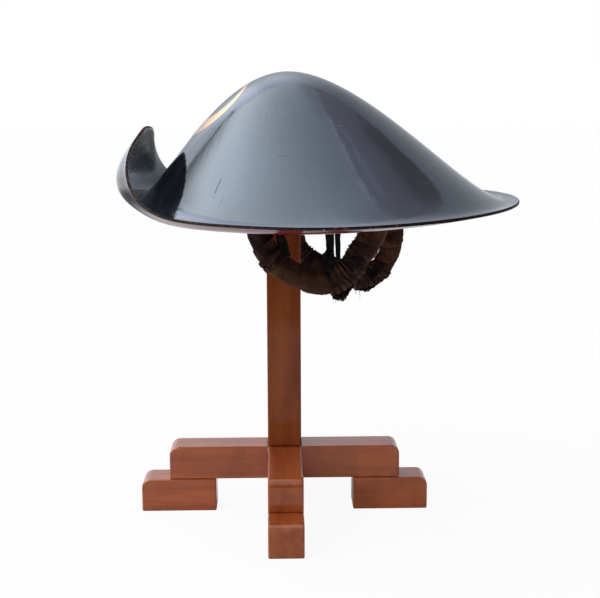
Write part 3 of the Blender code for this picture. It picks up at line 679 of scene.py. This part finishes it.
def build_shell(columns=288, crown_rows=52, brim_rows=28):
    """The whole shell: outer face, rounded rim and inner face, with a worn edge."""
    angle = 2 * math.pi * np.arange(columns) / columns
    angle = np.where(angle > math.pi, angle - 2 * math.pi, angle)
    shares = (np.arange(1, crown_rows + 1) / crown_rows)[:, None]
    crown_r, crown_z = crown_point(shares, angle[None])
    steps = 84
    brim_r, brim_z = brim_curve(angle, steps)
    pick = (np.arange(1, brim_rows + 1) * steps) // brim_rows - 1
    r = np.vstack([crown_r, brim_r[pick]])
    z = np.vstack([crown_z, brim_z[pick]])
    rows = len(r)
    outer = np.stack([-r * np.cos(angle), -r * np.sin(angle), z], axis=-1)
    side = np.roll(outer, -1, axis=1) - np.roll(outer, 1, axis=1)
    above = np.vstack([np.zeros((1, columns, 3)), outer[:-1]])
    below = np.vstack([outer[1:], 2 * outer[-1:] - outer[-2:-1]])
    down = below - above
    normal = np.cross(side, down)
    normal /= np.linalg.norm(normal, axis=2)[..., None]
    if normal[2, 0, 2] < 0:
        normal = -normal
    inner = outer - normal * SHELL
    ahead = down[-1] / np.linalg.norm(down[-1], axis=1)[:, None]

    def rim_noise(scale, seed):
        spots = np.stack([np.cos(angle) * scale, np.sin(angle) * scale, angle * 0], 1)
        return rough_noise(spots, seed)

    bulge, lip = 0.0011, 0.0006
    nick = np.clip(rim_noise(24, 3) - 0.50, 0, 0.5) * 0.0016
    waver = rim_noise(5, 8) * 0.0003
    edge = []
    for turn in (0.5, 0.0, -0.5):
        out = math.cos(turn * math.pi / 2 * 1.6) * bulge
        edge.append((outer[-1] + inner[-1]) / 2 + normal[-1] * SHELL / 2 * math.sin(turn * 2.4)
                    + ahead * (out - nick - bulge + waver)[:, None])
    for face in (outer, inner):
        face[-1] -= ahead * (lip + nick)[:, None]

    rings = [*outer, *edge, *inner[::-1]]
    points = np.vstack([np.zeros((1, 3)), *rings, np.array([[0.0, 0.0, -SHELL]])])
    count = len(rings)
    faces, kinds = [], []
    last = len(points) - 1
    for i in range(columns):
        k = (i + 1) % columns
        faces.append((0, 1 + k, 1 + i))
        kinds.append(0)
        for row in range(count - 1):
            a, b = 1 + row * columns, 1 + (row + 1) * columns
            faces.append((a + i, a + k, b + k, b + i))
            kinds.append(0 if row < rows - 1 else 1 if row < rows + 3 else 2)
        a = 1 + (count - 1) * columns
        faces.append((a + i, a + k, last))
        kinds.append(2)

    length = np.vstack([np.zeros((1, columns)), np.hypot(np.diff(r, axis=0), np.diff(z, axis=0))])
    reach = np.hypot(r[0], z[0])[None] + np.cumsum(length, axis=0)
    unrolled = np.stack([reach * np.cos(angle), reach * np.sin(angle), reach * 0], axis=-1)
    strokes = np.stack([np.broadcast_to(angle, r.shape), reach, reach * 0], axis=-1)
    past = np.clip((np.arange(rows) - crown_rows) / brim_rows, 0, 1)[:, None]
    flap = swell(angle, *FLAP_TURN)[None] * np.clip(past * 6.0, 0, 1)
    rubbed = 0.0022
    near_edge = np.clip((reach - reach[-1] + rubbed) / rubbed, 0, 1)

    def spread(field, lip, centre):
        return np.concatenate([centre, *field, *[lip] * 3, *field[::-1], centre])

    fields = {
        "unrolled": spread(unrolled, unrolled[-1], np.zeros((1, 3))),
        "strokes": spread(strokes, strokes[-1], np.zeros((1, 3))),
        "flap": spread(flap, flap[-1], np.zeros(1)),
        "rub": spread(near_edge, near_edge[-1], np.zeros(1)),
    }
    shell = add_mesh("lacquered_shell", transform(points, HAT), faces, [LACQUER, RIM, RED],
                     kinds, fields=fields)
    finish_piece(shell, "hat", "lacquer", "hat_shell")


# ---------------------------------------------------------------- cushion


def plump(cushion):
    """Swell a cushion from a slightly smaller shape by a short cloth simulation. It ends no
    further out than it began, because it is held between the hat and the wooden disc."""
    shrink, cap = 0.0015, 0.0025
    modifier(cushion, "REMESH", mode="VOXEL", voxel_size=0.0020)
    ready = cushion.evaluated_get(bpy.context.evaluated_depsgraph_get())
    mesh = bpy.data.meshes.new_from_object(ready)
    cushion.modifiers.clear()
    count = len(mesh.vertices)
    full, out = np.empty(count * 3), np.empty(count * 3)
    mesh.vertices.foreach_get("co", full)
    mesh.vertices.foreach_get("normal", out)
    full, out = full.reshape(-1, 3), out.reshape(-1, 3)
    start = full - out * shrink
    mesh.vertices.foreach_set("co", start.ravel())
    trial = bpy.data.objects.new("trial", mesh)
    scene.collection.objects.link(trial)
    made = trial.modifiers.new("cloth", "CLOTH").settings
    made.quality, made.mass = 5, 0.25
    made.use_pressure, made.uniform_pressure_force = True, 4.0
    made.effector_weights.gravity = 0.0
    for frame_number in range(1, 21):
        scene.frame_set(frame_number)
    swollen = np.empty(count * 3)
    ready = trial.evaluated_get(bpy.context.evaluated_depsgraph_get())
    ready.data.vertices.foreach_get("co", swollen)
    bpy.data.objects.remove(trial)
    scene.frame_set(1)
    move = swollen.reshape(-1, 3) - start
    far = np.linalg.norm(move, axis=1)[:, None]
    move = move * np.minimum(1.0, cap / np.maximum(far, 1e-9))
    rise = (move * out).sum(1)
    least = shrink * (0.7 - 1.4 * np.abs(out[:, 2]))
    held = np.clip(rise, least, shrink)
    move = (move - out * rise[:, None]) * 0.3 + out * held[:, None]
    mesh.vertices.foreach_set("co", (start + move).ravel())
    proud = held / shrink
    # 'high' is low where the cloth stays sunk and high where it swells: the cloth paints the low
    # places darker (painted shade) and the high ones lighter (rubbed wear and painted highlight).
    made = mesh.attributes.get("high") or mesh.attributes.new("high", "FLOAT", "POINT")
    made.data.foreach_set("value", np.clip(0.45 + 0.5 * proud, 0, 1).astype(np.float32))
    mesh.materials.clear()
    mesh.materials.append(PADDING)
    mesh.shade_smooth()
    cushion.data = mesh
    modifier(cushion, "SUBSURF", render_levels=1)


def build_cushion():
    def edge(angle):
        return 1 / math.sqrt((math.cos(angle) / (CUSHION[0] / 2)) ** 2
                             + (math.sin(angle) / (CUSHION[1] / 2)) ** 2)

    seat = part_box("head_disc")[1].z + FIT - HAT_TOP
    pucker, tuft, thin, near = 0.0016, 0.0022, 0.0018, 0.001
    columns, rows = 72, 16
    shares = np.sin(np.pi / 2 * np.arange(1, rows + 1) / rows)
    points, high = [], []
    for sign in (1, -1):
        for share in [0.0, *shares]:
            for i in range(columns if share else 1):
                angle = 2 * math.pi * i / columns
                reach = share * edge(angle)
                x, y = -reach * math.cos(angle), -reach * math.sin(angle)
                height = crown_height(x, y)
                slope = math.hypot(
                    crown_height(x + near, y) - crown_height(x - near, y),
                    crown_height(x, y + near) - crown_height(x, y - near)) / (2 * near)
                top = height - (SHELL + LINING_GAP) * math.sqrt(1 + slope * slope)
                middle, half = (top + seat) / 2, (top - seat) / 2
                full = math.sqrt(max(0.0, 1 - share**4))
                crease = pucker * share**3 * abs(math.sin(angle * 9 + 0.7 * math.sin(angle * 3)))
                if sign < 0:
                    crease += tuft * math.exp(-((reach - 0.047) / 0.002) ** 2)
                points.append((x, y, middle + sign * max(min(half, thin), half * full - crease)))
                # Creases get a low 'high', which the cloth paints darker: painted shade.
                high.append(1.0 - min(1.0, crease / pucker))
    size = 1 + rows * columns
    faces = []
    for side in (0, 1):
        base = side * size
        for i in range(columns):
            k = (i + 1) % columns
            ring = [(base, base + 1 + i, base + 1 + k)]
            for row in range(rows - 1):
                a, b = base + 1 + row * columns, base + 1 + (row + 1) * columns
                ring.append((a + i, b + i, b + k, a + k))
            faces += [f if side == 0 else f[::-1] for f in ring]
    a, b = 1 + (rows - 1) * columns, size + 1 + (rows - 1) * columns
    for i in range(columns):
        k = (i + 1) % columns
        faces.append((a + i, b + i, b + k, a + k))
    cushion = add_mesh("stuffed_cushion", transform(points, HAT), faces, [PADDING],
                       fields={"high": high})
    plump(cushion)
    finish_piece(cushion, "hat", "cushion_cloth", "head_cushion")


# ---------------------------------------------------------------- ear loops


def loop_route(side, count):
    """The line of one ear loop's roll, and how far each of its points is from its front."""
    flat = smooth_route([(FRONT_EYE, -NECK_TOP), *BEND[side], (BACK_EYE, -NECK_TOP)], count)
    route = np.stack([flat[:, 0], np.zeros(count), flat[:, 1]], axis=1)
    return route, reach_of(route)


def roll_radius(reach, total):
    from_end = np.minimum(reach, total - reach)
    share = np.minimum(1.0, from_end / NECK_LENGTH)
    ease = share * share * (3 - 2 * share)
    return NECK_RADIUS + (LOOP_RADIUS - NECK_RADIUS) * ease


def stretch(reach, ends, soft=0.006):
    """1 over a stretch of the roll, fading at both ends."""
    return np.clip((reach - ends[0]) / soft, 0, 1) * np.clip((ends[1] - reach) / soft, 0, 1)


def wound_roll(side, pitch, seed, pleats, frayed, dark):
    """A roll of wadding wound with an overlapping strip of cloth. Along the roll, one stretch
    is gathered into pleats, one has its edge frayed on the inner side, and one is darker."""
    count, sides = 640, 72
    route, reach = loop_route(side, count)
    first, second = sections(route, ACROSS)
    turns = 2 * math.pi * np.arange(sides) / sides
    plain = roll_radius(reach, reach[-1])[:, None] * np.ones(sides)
    fade = (plain - NECK_RADIUS) / (LOOP_RADIUS - NECK_RADIUS)
    along = reach[:, None] * np.ones(sides)
    turn = np.ones(count)[:, None] * turns

    def noise_at(x, y, z, number, octaves=3):
        spots = np.stack([x, y, z], -1).reshape(-1, 3)
        return rough_noise(spots, number, octaves).reshape(count, sides)

    def noise(length, wide, number, octaves=3):
        return noise_at(along / length, np.cos(turn) * wide, np.sin(turn) * wide, number, octaves)

    phase = along / pitch - turn / (2 * math.pi) + noise(0.009, 1.1, seed) * 0.13
    layer, number = phase % 1.0, np.floor(phase)
    pleat = noise_at(layer * 2.2, number * 7.3, turn * 1.1 + along * 60, seed + 9)
    gather = stretch(along, pleats)
    ridges = np.abs(np.sin(math.pi * along / PLEAT + 0.8 * noise(0.012, 0.8, seed + 3)))
    torn = stretch(along, frayed) * np.clip(np.cos(turn - 0.25), 0, 1) ** 2
    ledge = np.where(layer < 0.05, layer / 0.05, 1.0 - 0.85 * (layer - 0.05) / 0.95)
    height = 0.0006 + 0.0010 * (ledge - 1.0) * (1 - gather)
    height = height + 0.0006 * (noise(0.017, 1.0, seed + 5) - 0.1) + 0.0004 * pleat
    height = height + gather * 0.0019 * (ridges - 0.70)
    height = height + torn * 0.0022 * np.abs(noise(0.0024, 4.0, seed + 17))
    height = height + 0.00016 * noise(0.0014, 6.0, seed + 13, 2)
    seam = stretch(along, (frayed[0] + 0.006, frayed[1] + 0.020))
    seam = seam * np.exp(-((turn - 2.45) / 0.10) ** 2)
    height = height + 0.0006 * seam
    points = rows_round(route, plain + fade * height, turn, first, second)
    # How high the cloth stands, for its colour: lighter on raised folds (rubbed wear and painted
    # highlight), darker low down (painted shade).
    high = np.clip(0.60 + (height - 0.0002) / 0.0028, 0, 1)
    # A dark line along the edge of each turn, where it tucks under the next: painted shade.
    high = np.where((layer < 0.035) & (gather < 0.5), 0.10, high)
    high = np.maximum(high, np.maximum(seam, gather * (ridges * 1.25 - 0.25)))
    tone = np.stack([number, number * 0, number * 0], -1).reshape(-1, 3) * 1.37
    # 'shade': turns of cloth that differ in tone, and a darker stretch of painted shade.
    shade = 0.40 + 0.5 * lattice_noise(tone, seed + 31).reshape(count, sides)
    shade = shade + 0.35 * noise(0.025, 0.7, seed + 23, 2) + 0.7 * stretch(along, dark, 0.010)
    roll = add_mesh(f"{side}_wound_loop", transform(points, PLACE[side]),
                    tube_faces(count, sides), [WRAP],
                    fields={"high": high.ravel(), "shade": np.clip(shade, 0, 1).ravel()})
    finish_piece(roll, f"{side}_loop", "brown_cloth", f"{side}_ear_loop")


def lower_point(route, x):
    """The point of a loop's lower half that is nearest to x."""
    return int(np.argmin(np.abs(route[:, 0] - x) + (route[:, 2] > route[:, 2].min() / 2) * 1.0))


def tape(route, half_width, half_thick, across, seed, sides=16):
    """Points and faces of a flat strip of cloth along a route, a little crumpled."""
    route = np.asarray(route, float)
    points, faces = tube(route, 1.0, sides, across)
    count = len(points) // sides
    centre = np.repeat(route[:count], sides, axis=0)
    first, second = (np.repeat(axis[:count], sides, axis=0) for axis in sections(route, across))
    spread = points - centre
    a, b = (spread * first).sum(1), (spread * second).sum(1)
    wide, thick = (np.repeat(np.broadcast_to(half, (len(route),))[:count], sides)
                   for half in (half_width, half_thick))
    crumple = 1 + 0.22 * rough_noise(centre / 0.005 + spread * 0.8, seed)
    square = 1 / (a**4 + b**4) ** 0.25
    points = (centre + (a * square * wide * crumple)[:, None] * first
              + (b * square * thick * crumple)[:, None] * second)
    points = points + (rough_noise(centre / 0.007 + 31, seed + 3) * 0.0005)[:, None] * second
    return points, faces


def knot(centre, size, seed, rows=44, columns=64):
    """Points and faces of a crumpled lump of tied cloth."""
    points = []
    for row in range(rows + 1):
        tilt = math.pi * row / rows
        for column in range(columns):
            turn = 2 * math.pi * column / columns
            points.append((math.sin(tilt) * math.cos(turn), math.sin(tilt) * math.sin(turn),
                           math.cos(tilt)))
    points = np.array(points)
    fold_ = 1.0 - np.abs(rough_noise(points * 1.9 + 5.0, seed, 3))
    points = points * (0.62 + 0.40 * fold_)[:, None] * np.asarray(size)
    faces = []
    for row in range(rows):
        a, b = row * columns, (row + 1) * columns
        for i in range(columns):
            k = (i + 1) % columns
            faces.append((a + i, b + i, b + k, a + k))
    return points + np.asarray(centre), faces


def tie(side, widths, bows, turn_half, lump, size, looks, seed):
    """A doubled tape down from the middle ring to two turns of cloth round the roll, tied there
    in a crumpled knot. widths are the tape's half widths, bows how far each leg bends aside,
    lump the knot's place along the roll and above it, size the knot's half sizes."""
    eye, foot_x, spread = TIE[side]
    route, reach = loop_route(side, 300)
    near = lower_point(route, foot_x)
    centre = route[near]
    ahead = route[near + 1] - route[near - 1]
    ahead /= np.linalg.norm(ahead)
    outward = np.cross(ahead, (0.0, 1.0, 0.0))
    roll = roll_radius(reach[near:near + 1], reach[-1])[0]
    if outward[2] < 0:
        outward = -outward
    band_lift, sink = 0.0013, 0.007
    top = centre + outward * (roll + 2 * TIE_RADIUS + 2 * FIT)
    foot = top[2] - sink
    ring_low = -RING_DROP - RING_RADIUS
    parts = []
    for offset, lean, part in ((-0.0024, 0.35, 0), (0.0024, -0.30, 1)):
        turns = np.linspace(0, 2 * math.pi, 73)
        ring = [centre + (roll + band_lift) * (np.cos(t) * outward + np.sin(t) * np.array(ACROSS))
                + ahead * (offset + lean * 0.004 * math.sin(t)) for t in turns]
        ring[-1] = ring[0]
        parts.append(tape(ring, 0.0011, turn_half, tuple(ahead), seed + part))
    half = spread / 2
    path = []
    for share in np.linspace(0, 1, 30)[:-1]:
        path.append((top[0] - half + share * (eye - TIE_TURN - top[0] + half)
                     + bows[0] * math.sin(math.pi * share), 0.0, foot + share * (ring_low - foot)))
    for turn in np.linspace(math.pi, 0, 14):
        path.append((eye + TIE_TURN * math.cos(turn), 0.0, ring_low + TIE_TURN * math.sin(turn)))
    for share in np.linspace(1, 0, 30)[1:]:
        path.append((top[0] + half + share * (eye + TIE_TURN - top[0] - half)
                     + bows[1] * math.sin(math.pi * share), 0.0, foot + share * (ring_low - foot)))
    share = np.linspace(0, 1, len(path))
    wide, thick = (np.interp(share, (0, 0.34, 0.42, 0.58, 0.66, 1),
                             (a, a, TIE_RADIUS, TIE_RADIUS, b, b))
                   for a, b in (widths, (TAPE_THICK, TAPE_THICK)))
    wound = sum(len(faces) for _, faces in parts)
    parts.append(tape(path, wide, thick, ACROSS, seed + 5))
    parts.append(knot(centre + outward * lump[1] + np.array((0, -0.003, 0)) + ahead * lump[0],
                      size, seed + 8))
    points, faces = joined(parts)
    # With WRAP on the left, 'shade' 0.72 paints the turns of tape dark: painted shade of the crease
    # they lie in.
    made = add_mesh(f"{side}_cloth_tie", transform(points, PLACE[side]), faces, looks,
                    kinds=[0] * wound + [1] * (len(faces) - wound),
                    fields={"high": 0.5 + 0.4 * rough_noise(points / 0.003, seed),
                            "shade": np.full(len(points), 0.72)})
    finish_piece(made, f"{side}_loop", "black_cord", f"{side}_tie_cord", f"{side}_tie_band")


def wrap_end(side, place, drop, tip, seed):
    """The loose end of the wrapping, gathered over the roll and hanging under it in folds.
    place is its stretch along the roll, drop how far it hangs and tip where it hangs lowest."""
    route, reach = loop_route(side, 400)
    first, second = sections(route, ACROSS)
    tip_x = route[int(np.argmin(np.abs(reach - tip)))][0]
    long_, wide = 80, 60
    spots, high = [], []
    for i in range(long_ + 1):
        at = place[0] + (place[1] - place[0]) * i / long_
        k = int(np.argmin(np.abs(reach - at)))
        low = 0.35 + 0.65 * math.exp(-((at - tip) / 0.0075) ** 2)
        for j in range(wide + 1):
            q = j / wide
            turn = math.radians(112 + 78 * min(1.0, q / 0.5))
            hang = max(0.0, (q - 0.5) / 0.5)
            ridge = abs(math.sin(math.pi * at / PLEAT + 0.9 * math.sin(2.2 * q + seed)))
            lift = min(1.0, q / 0.25)
            radius = LOOP_RADIUS + 0.0002 + (0.0009 + 0.0011 * ridge) * lift * lift * (3 - 2 * lift)
            spot = route[k] + radius * (math.cos(turn) * first[k] + math.sin(turn) * second[k])
            fall = hang - 0.20 * math.sin(3 * math.pi * hang)
            spot = spot + np.array(((tip_x - spot[0]) * 0.35 * hang,
                                    0.0030 * math.sin(3 * math.pi * hang) + 0.0012 * ridge * hang,
                                    -drop * low * fall))
            spots.append(spot)
            # Lighter on the ridges (rubbed wear and painted highlight), darker as it hangs under
            # the roll (painted shade).
            high.append(0.35 + 0.45 * ridge - 0.25 * hang)
    spots = np.array(spots)
    crumple = rough_noise(spots / 0.0045, seed, 3)
    spots[:, 2] += crumple * 0.0007
    spots[:, 1] += rough_noise(spots / 0.005 + 9.0, seed + 4, 2) * 0.0007
    faces = []
    for i in range(long_):
        for j in range(wide):
            if j > wide - 5 and (i * 7 + seed) % 5 < 1 + (j - wide + 5) // 2:
                continue
            a = i * (wide + 1) + j
            faces.append((a, a + 1, a + wide + 2, a + wide + 1))
    # 'shade' near 0.9 paints the loose end purple-black, lighter only on its ridges: painted shade
    # between and under its folds.
    made = add_mesh(f"{side}_loose_end", transform(spots, PLACE[side]), faces, [WRAP],
                    fields={"high": np.clip(np.array(high) + crumple * 0.25, 0, 1),
                            "shade": np.clip(0.90 + crumple * 0.3, 0, 1)})
    modifier(made, "SOLIDIFY", thickness=0.0006, offset=0.0)
    finish_piece(made, f"{side}_loop", "brown_cloth", f"{side}_wrap_end")


def threads(side, spots, hairs, seed):
    """Loose threads that hang under the end of the wrapping, and short fibres all along."""
    rng = np.random.default_rng(seed)
    route, reach = loop_route(side, 240)
    first, second = sections(route, ACROSS)
    parts = []
    for x in spots:
        start = route[lower_point(route, x)]
        y = rng.uniform(-0.006, 0.003)
        z = start[2] - LOOP_RADIUS - rng.uniform(0.001, 0.004)
        long_ = rng.uniform(0.005, 0.010)
        sway = rng.normal(0, 0.0015, 4)
        path = [(x + sway[0] * t * t, y + sway[1] * t,
                 z - long_ * t + sway[2] * 0.4 * math.sin(4 * t))
                for t in np.linspace(0, 1, 12)]
        parts.append(tube(path, np.linspace(0.00020, 0.00012, 12), 5))
    for _ in range(hairs):
        k = int(np.argmin(np.abs(reach - rng.uniform(0.030, reach[-1] - 0.030))))
        turn = rng.uniform(0, 2 * math.pi)
        out = math.cos(turn) * first[k] + math.sin(turn) * second[k]
        lean = rng.normal(0, 0.6, 3)
        long_ = rng.uniform(0.0014, 0.0032)
        start = route[k] + out * (LOOP_RADIUS + 0.0002)
        path = [start + out * long_ * t + lean * long_ * t * t for t in np.linspace(0, 1, 8)]
        parts.append(tube(path, np.linspace(0.00011, 0.00006, 8), 4, (0.3, 0.2, 1.0)))
    points, faces = joined(parts)
    made = add_mesh(f"{side}_threads", transform(points, PLACE[side]), faces, [CORD])
    finish_piece(made, f"{side}_loop", "brown_cloth")


def dress_small_parts():
    for name, body in nodes.items():
        if "staple" in name:
            dress(body, IRON)
        elif "ring" in name or "cushion_cord" in name:
            dress(body, IRON if "ring" in name else CORD)
            modifier(body, "SUBSURF", render_levels=2)


# ---------------------------------------------------------------- studio


def build_world():
    """White for the camera. The object is under a wide soft box to the left of its top, seen
    here as degrees from straight up: u to the right and v away from the camera."""
    world = bpy.data.worlds.new("studio")
    scene.world = world
    world.use_nodes = True
    world.cycles.sampling_method = "NONE"
    tree = Tree(world.node_tree)
    x, y, z = tree.split(tree.place("Generated"))
    flat = tree.math("SQRT", x * x + y * y + 1e-8)
    zenith = tree.math("ARCCOSINE", z) * (180 / math.pi)
    u, v = zenith * x / flat, zenith * y / flat
    away = tree.math("MAXIMUM", v, 0.0)

    box = tree.math("MINIMUM", tree.math("EXPONENT", (u + 36.0) / -42.0) * 5.0, 5.2)
    box = box * tree.math("EXPONENT", u.step(0.0, 12.0) * away / -60.0)
    box = box * (1.0 - 0.80 * v.step(14.0, 34.0) * u.step(-30.0, -46.0))
    panel = u - 17.3 + 0.12 * away
    frame_ = u - 22.3 + 0.2 * tree.math("MAXIMUM", v - 3.0, 0.0)
    box = box * (1.0 - 0.25 * panel.step(-1.2, 1.6))
    glints = frame_.within(0.0, 0.6, 0.3) + panel.within(-0.3, 0.6, 0.3)
    box = box * (1.0 + 0.40 * glints * v.step(-5.0, -3.0) * v.step(9.0, 6.0))
    box = box * (1.0 - 0.30 * u.step(26.0, 31.0) * v.step(13.0, 22.0))

    corner = u.step(-43.0, -44.0)
    edge = 27.0 + 0.36 * tree.math("MAXIMUM", u + 12.0, 0.0)
    edge = tree.math("MINIMUM", edge, 35.5) + 3.5 * u.step(-30.0, -38.0)
    edge = edge + corner * 4.0 * u.step(-44.0, -47.5)
    past = v - edge
    inside = past.step(0.8, -0.8)
    near = 1.9 + 1.2 * u.step(-16.0, -28.0) * (1.0 - 1.3 * u.step(-34.0, -43.0))
    room = tree.math("EXPONENT", ((v - 38.0) / 22.0) ** 2.0 * -1.0)
    room = 0.60 + near * u.step(24.0, -10.0) * room
    level = box * inside + room * (1.0 - inside)
    level = level * (1.0 - 0.75 * past.within(1.0, 1.2, 0.5) * u.step(-33.0, -36.0))
    reach = v.step(-75.0, -30.0) * u.step(-85.0, -50.0)
    level = 0.45 + (level - 0.45) * reach
    low = zenith.step(80.0, 90.0)
    rim = (1.12 - 0.46 * u.step(-10.0, 14.0) - 0.40 * u.step(-30.0, -60.0)) * v.step(-60.0, 0.0)
    level = level * (1.0 - low) + (rim + 0.05) * low

    ridge = (1.0 - inside) * past.step(16.0, 9.0) * zenith.step(52.0, 43.0) * u.step(-38.0, -30.0)
    hue = tree.layered((0.99, 1.0, 0.98), (u.step(-12.0, 6.0), (0.97, 1.0, 1.05)),
                       (u.step(8.0, 20.0), (1.07, 1.0, 1.12)))
    hue = tree.layered((0.96, 1.0, 1.08), (inside, hue), (ridge, (0.99, 1.0, 1.15)),
                       (low, (0.95, 1.02, 1.13)))

    rays = tree.node("ShaderNodeLightPath")
    camera, glossy = (Value(tree, rays.outputs[f"Is {kind} Ray"])
                      for kind in ("Camera", "Glossy"))
    level = level * (0.58 + 0.42 * glossy)
    back = tree.node("ShaderNodeBackground")
    tree.join(level * (1.0 - camera) + camera, back.inputs["Strength"])
    tree.join(tree.mix(camera, hue, (1.0, 1.0, 1.0)), back.inputs["Color"])
    tree.finish(back, "ShaderNodeOutputWorld")


def build_floor():
    """A floor that the camera sees as white, and that ends dark far behind the stand."""
    corners = [(-4, -0.9, 0), (4, -0.9, 0), (4, 9, 0), (-4, 9, 0)]
    floor = add_mesh("floor", corners, [(0, 1, 2, 3)], [])
    made = bpy.data.materials.new("pale_floor")
    made.use_nodes = True
    tree = Tree(made.node_tree)
    matt = tree.node("ShaderNodeBsdfDiffuse")
    speck = tree.noise(tree.place(), 40.0, 3.0)
    camera = tree.made("ShaderNodeLightPath", "Is Camera Ray")
    _, away, _ = tree.split(tree.place())
    beyond = away.step(0.72, 0.98) * away.step(2.6, 1.3) * (1.0 - camera)
    colour = tree.mix(speck, (0.78, 0.78, 0.78), (0.82, 0.82, 0.82))
    tree.join(tree.mix(beyond * 0.85, colour, (0.05, 0.055, 0.065)), matt.inputs["Color"])
    glow = tree.node("ShaderNodeEmission")
    glow.inputs["Strength"].default_value = 1.0
    mixer = tree.node("ShaderNodeMixShader")
    tree.join(camera * 0.93, mixer.inputs[0])
    tree.tree.links.new(matt.outputs[0], mixer.inputs[1])
    tree.tree.links.new(glow.outputs[0], mixer.inputs[2])
    tree.finish(mixer)
    floor.data.materials.append(made)


def build_camera():
    """A camera 1.1 m to the hat's left, level with its top and looking down at 10.5 degrees."""
    turn, pitch, roll = (math.radians(angle) for angle in (1.281, 10.479, -0.195))
    picture_width, focal_length = 600.0, 1208.3
    data = bpy.data.cameras.new("camera")
    data.sensor_width = 36.0
    data.lens = focal_length * data.sensor_width / picture_width
    camera = bpy.data.objects.new("camera", data)
    scene.collection.objects.link(camera)
    camera.matrix_world = (Matrix.Translation(STAND + Vector((-0.00974, -1.13627, 0.41603)))
                           @ Matrix.Rotation(-turn, 4, "Z")
                           @ Matrix.Rotation(math.pi / 2 - pitch, 4, "X")
                           @ Matrix.Rotation(roll, 4, "Z"))
    scene.camera = camera


# ---------------------------------------------------------------- all together

build_camera()
build_world()
build_floor()
dress_stand()
dress_small_parts()
build_shell()
build_cushion()
wound_roll("left", 0.0155, 21, pleats=(0.131, 0.150), frayed=(0.148, 0.190), dark=(0.116, 0.134))
wound_roll("right", 0.0165, 47, pleats=(0.086, 0.100), frayed=(0.150, 0.182), dark=(0.080, 0.175))
tie("left", (0.0025, 0.0025), (-0.0008, -0.0030), 0.0026, (0.001, 0.008),
    (0.0045, 0.0040, 0.0045), [WRAP, CORD], 3)
tie("right", (0.0042, 0.0027), (-0.0034, -0.0018), 0.0034, (-0.004, 0.009),
    (0.0095, 0.0085, 0.0100), [CORD, CORD], 13)
wrap_end("left", (0.122, 0.152), 0.0115, 0.133, 5)
wrap_end("right", (0.148, 0.180), 0.0060, 0.161, 12)
threads("left", (0.0435, 0.0450), 26, 6)
threads("right", (0.0642, 0.0657, 0.0672, 0.0684), 26, 9)
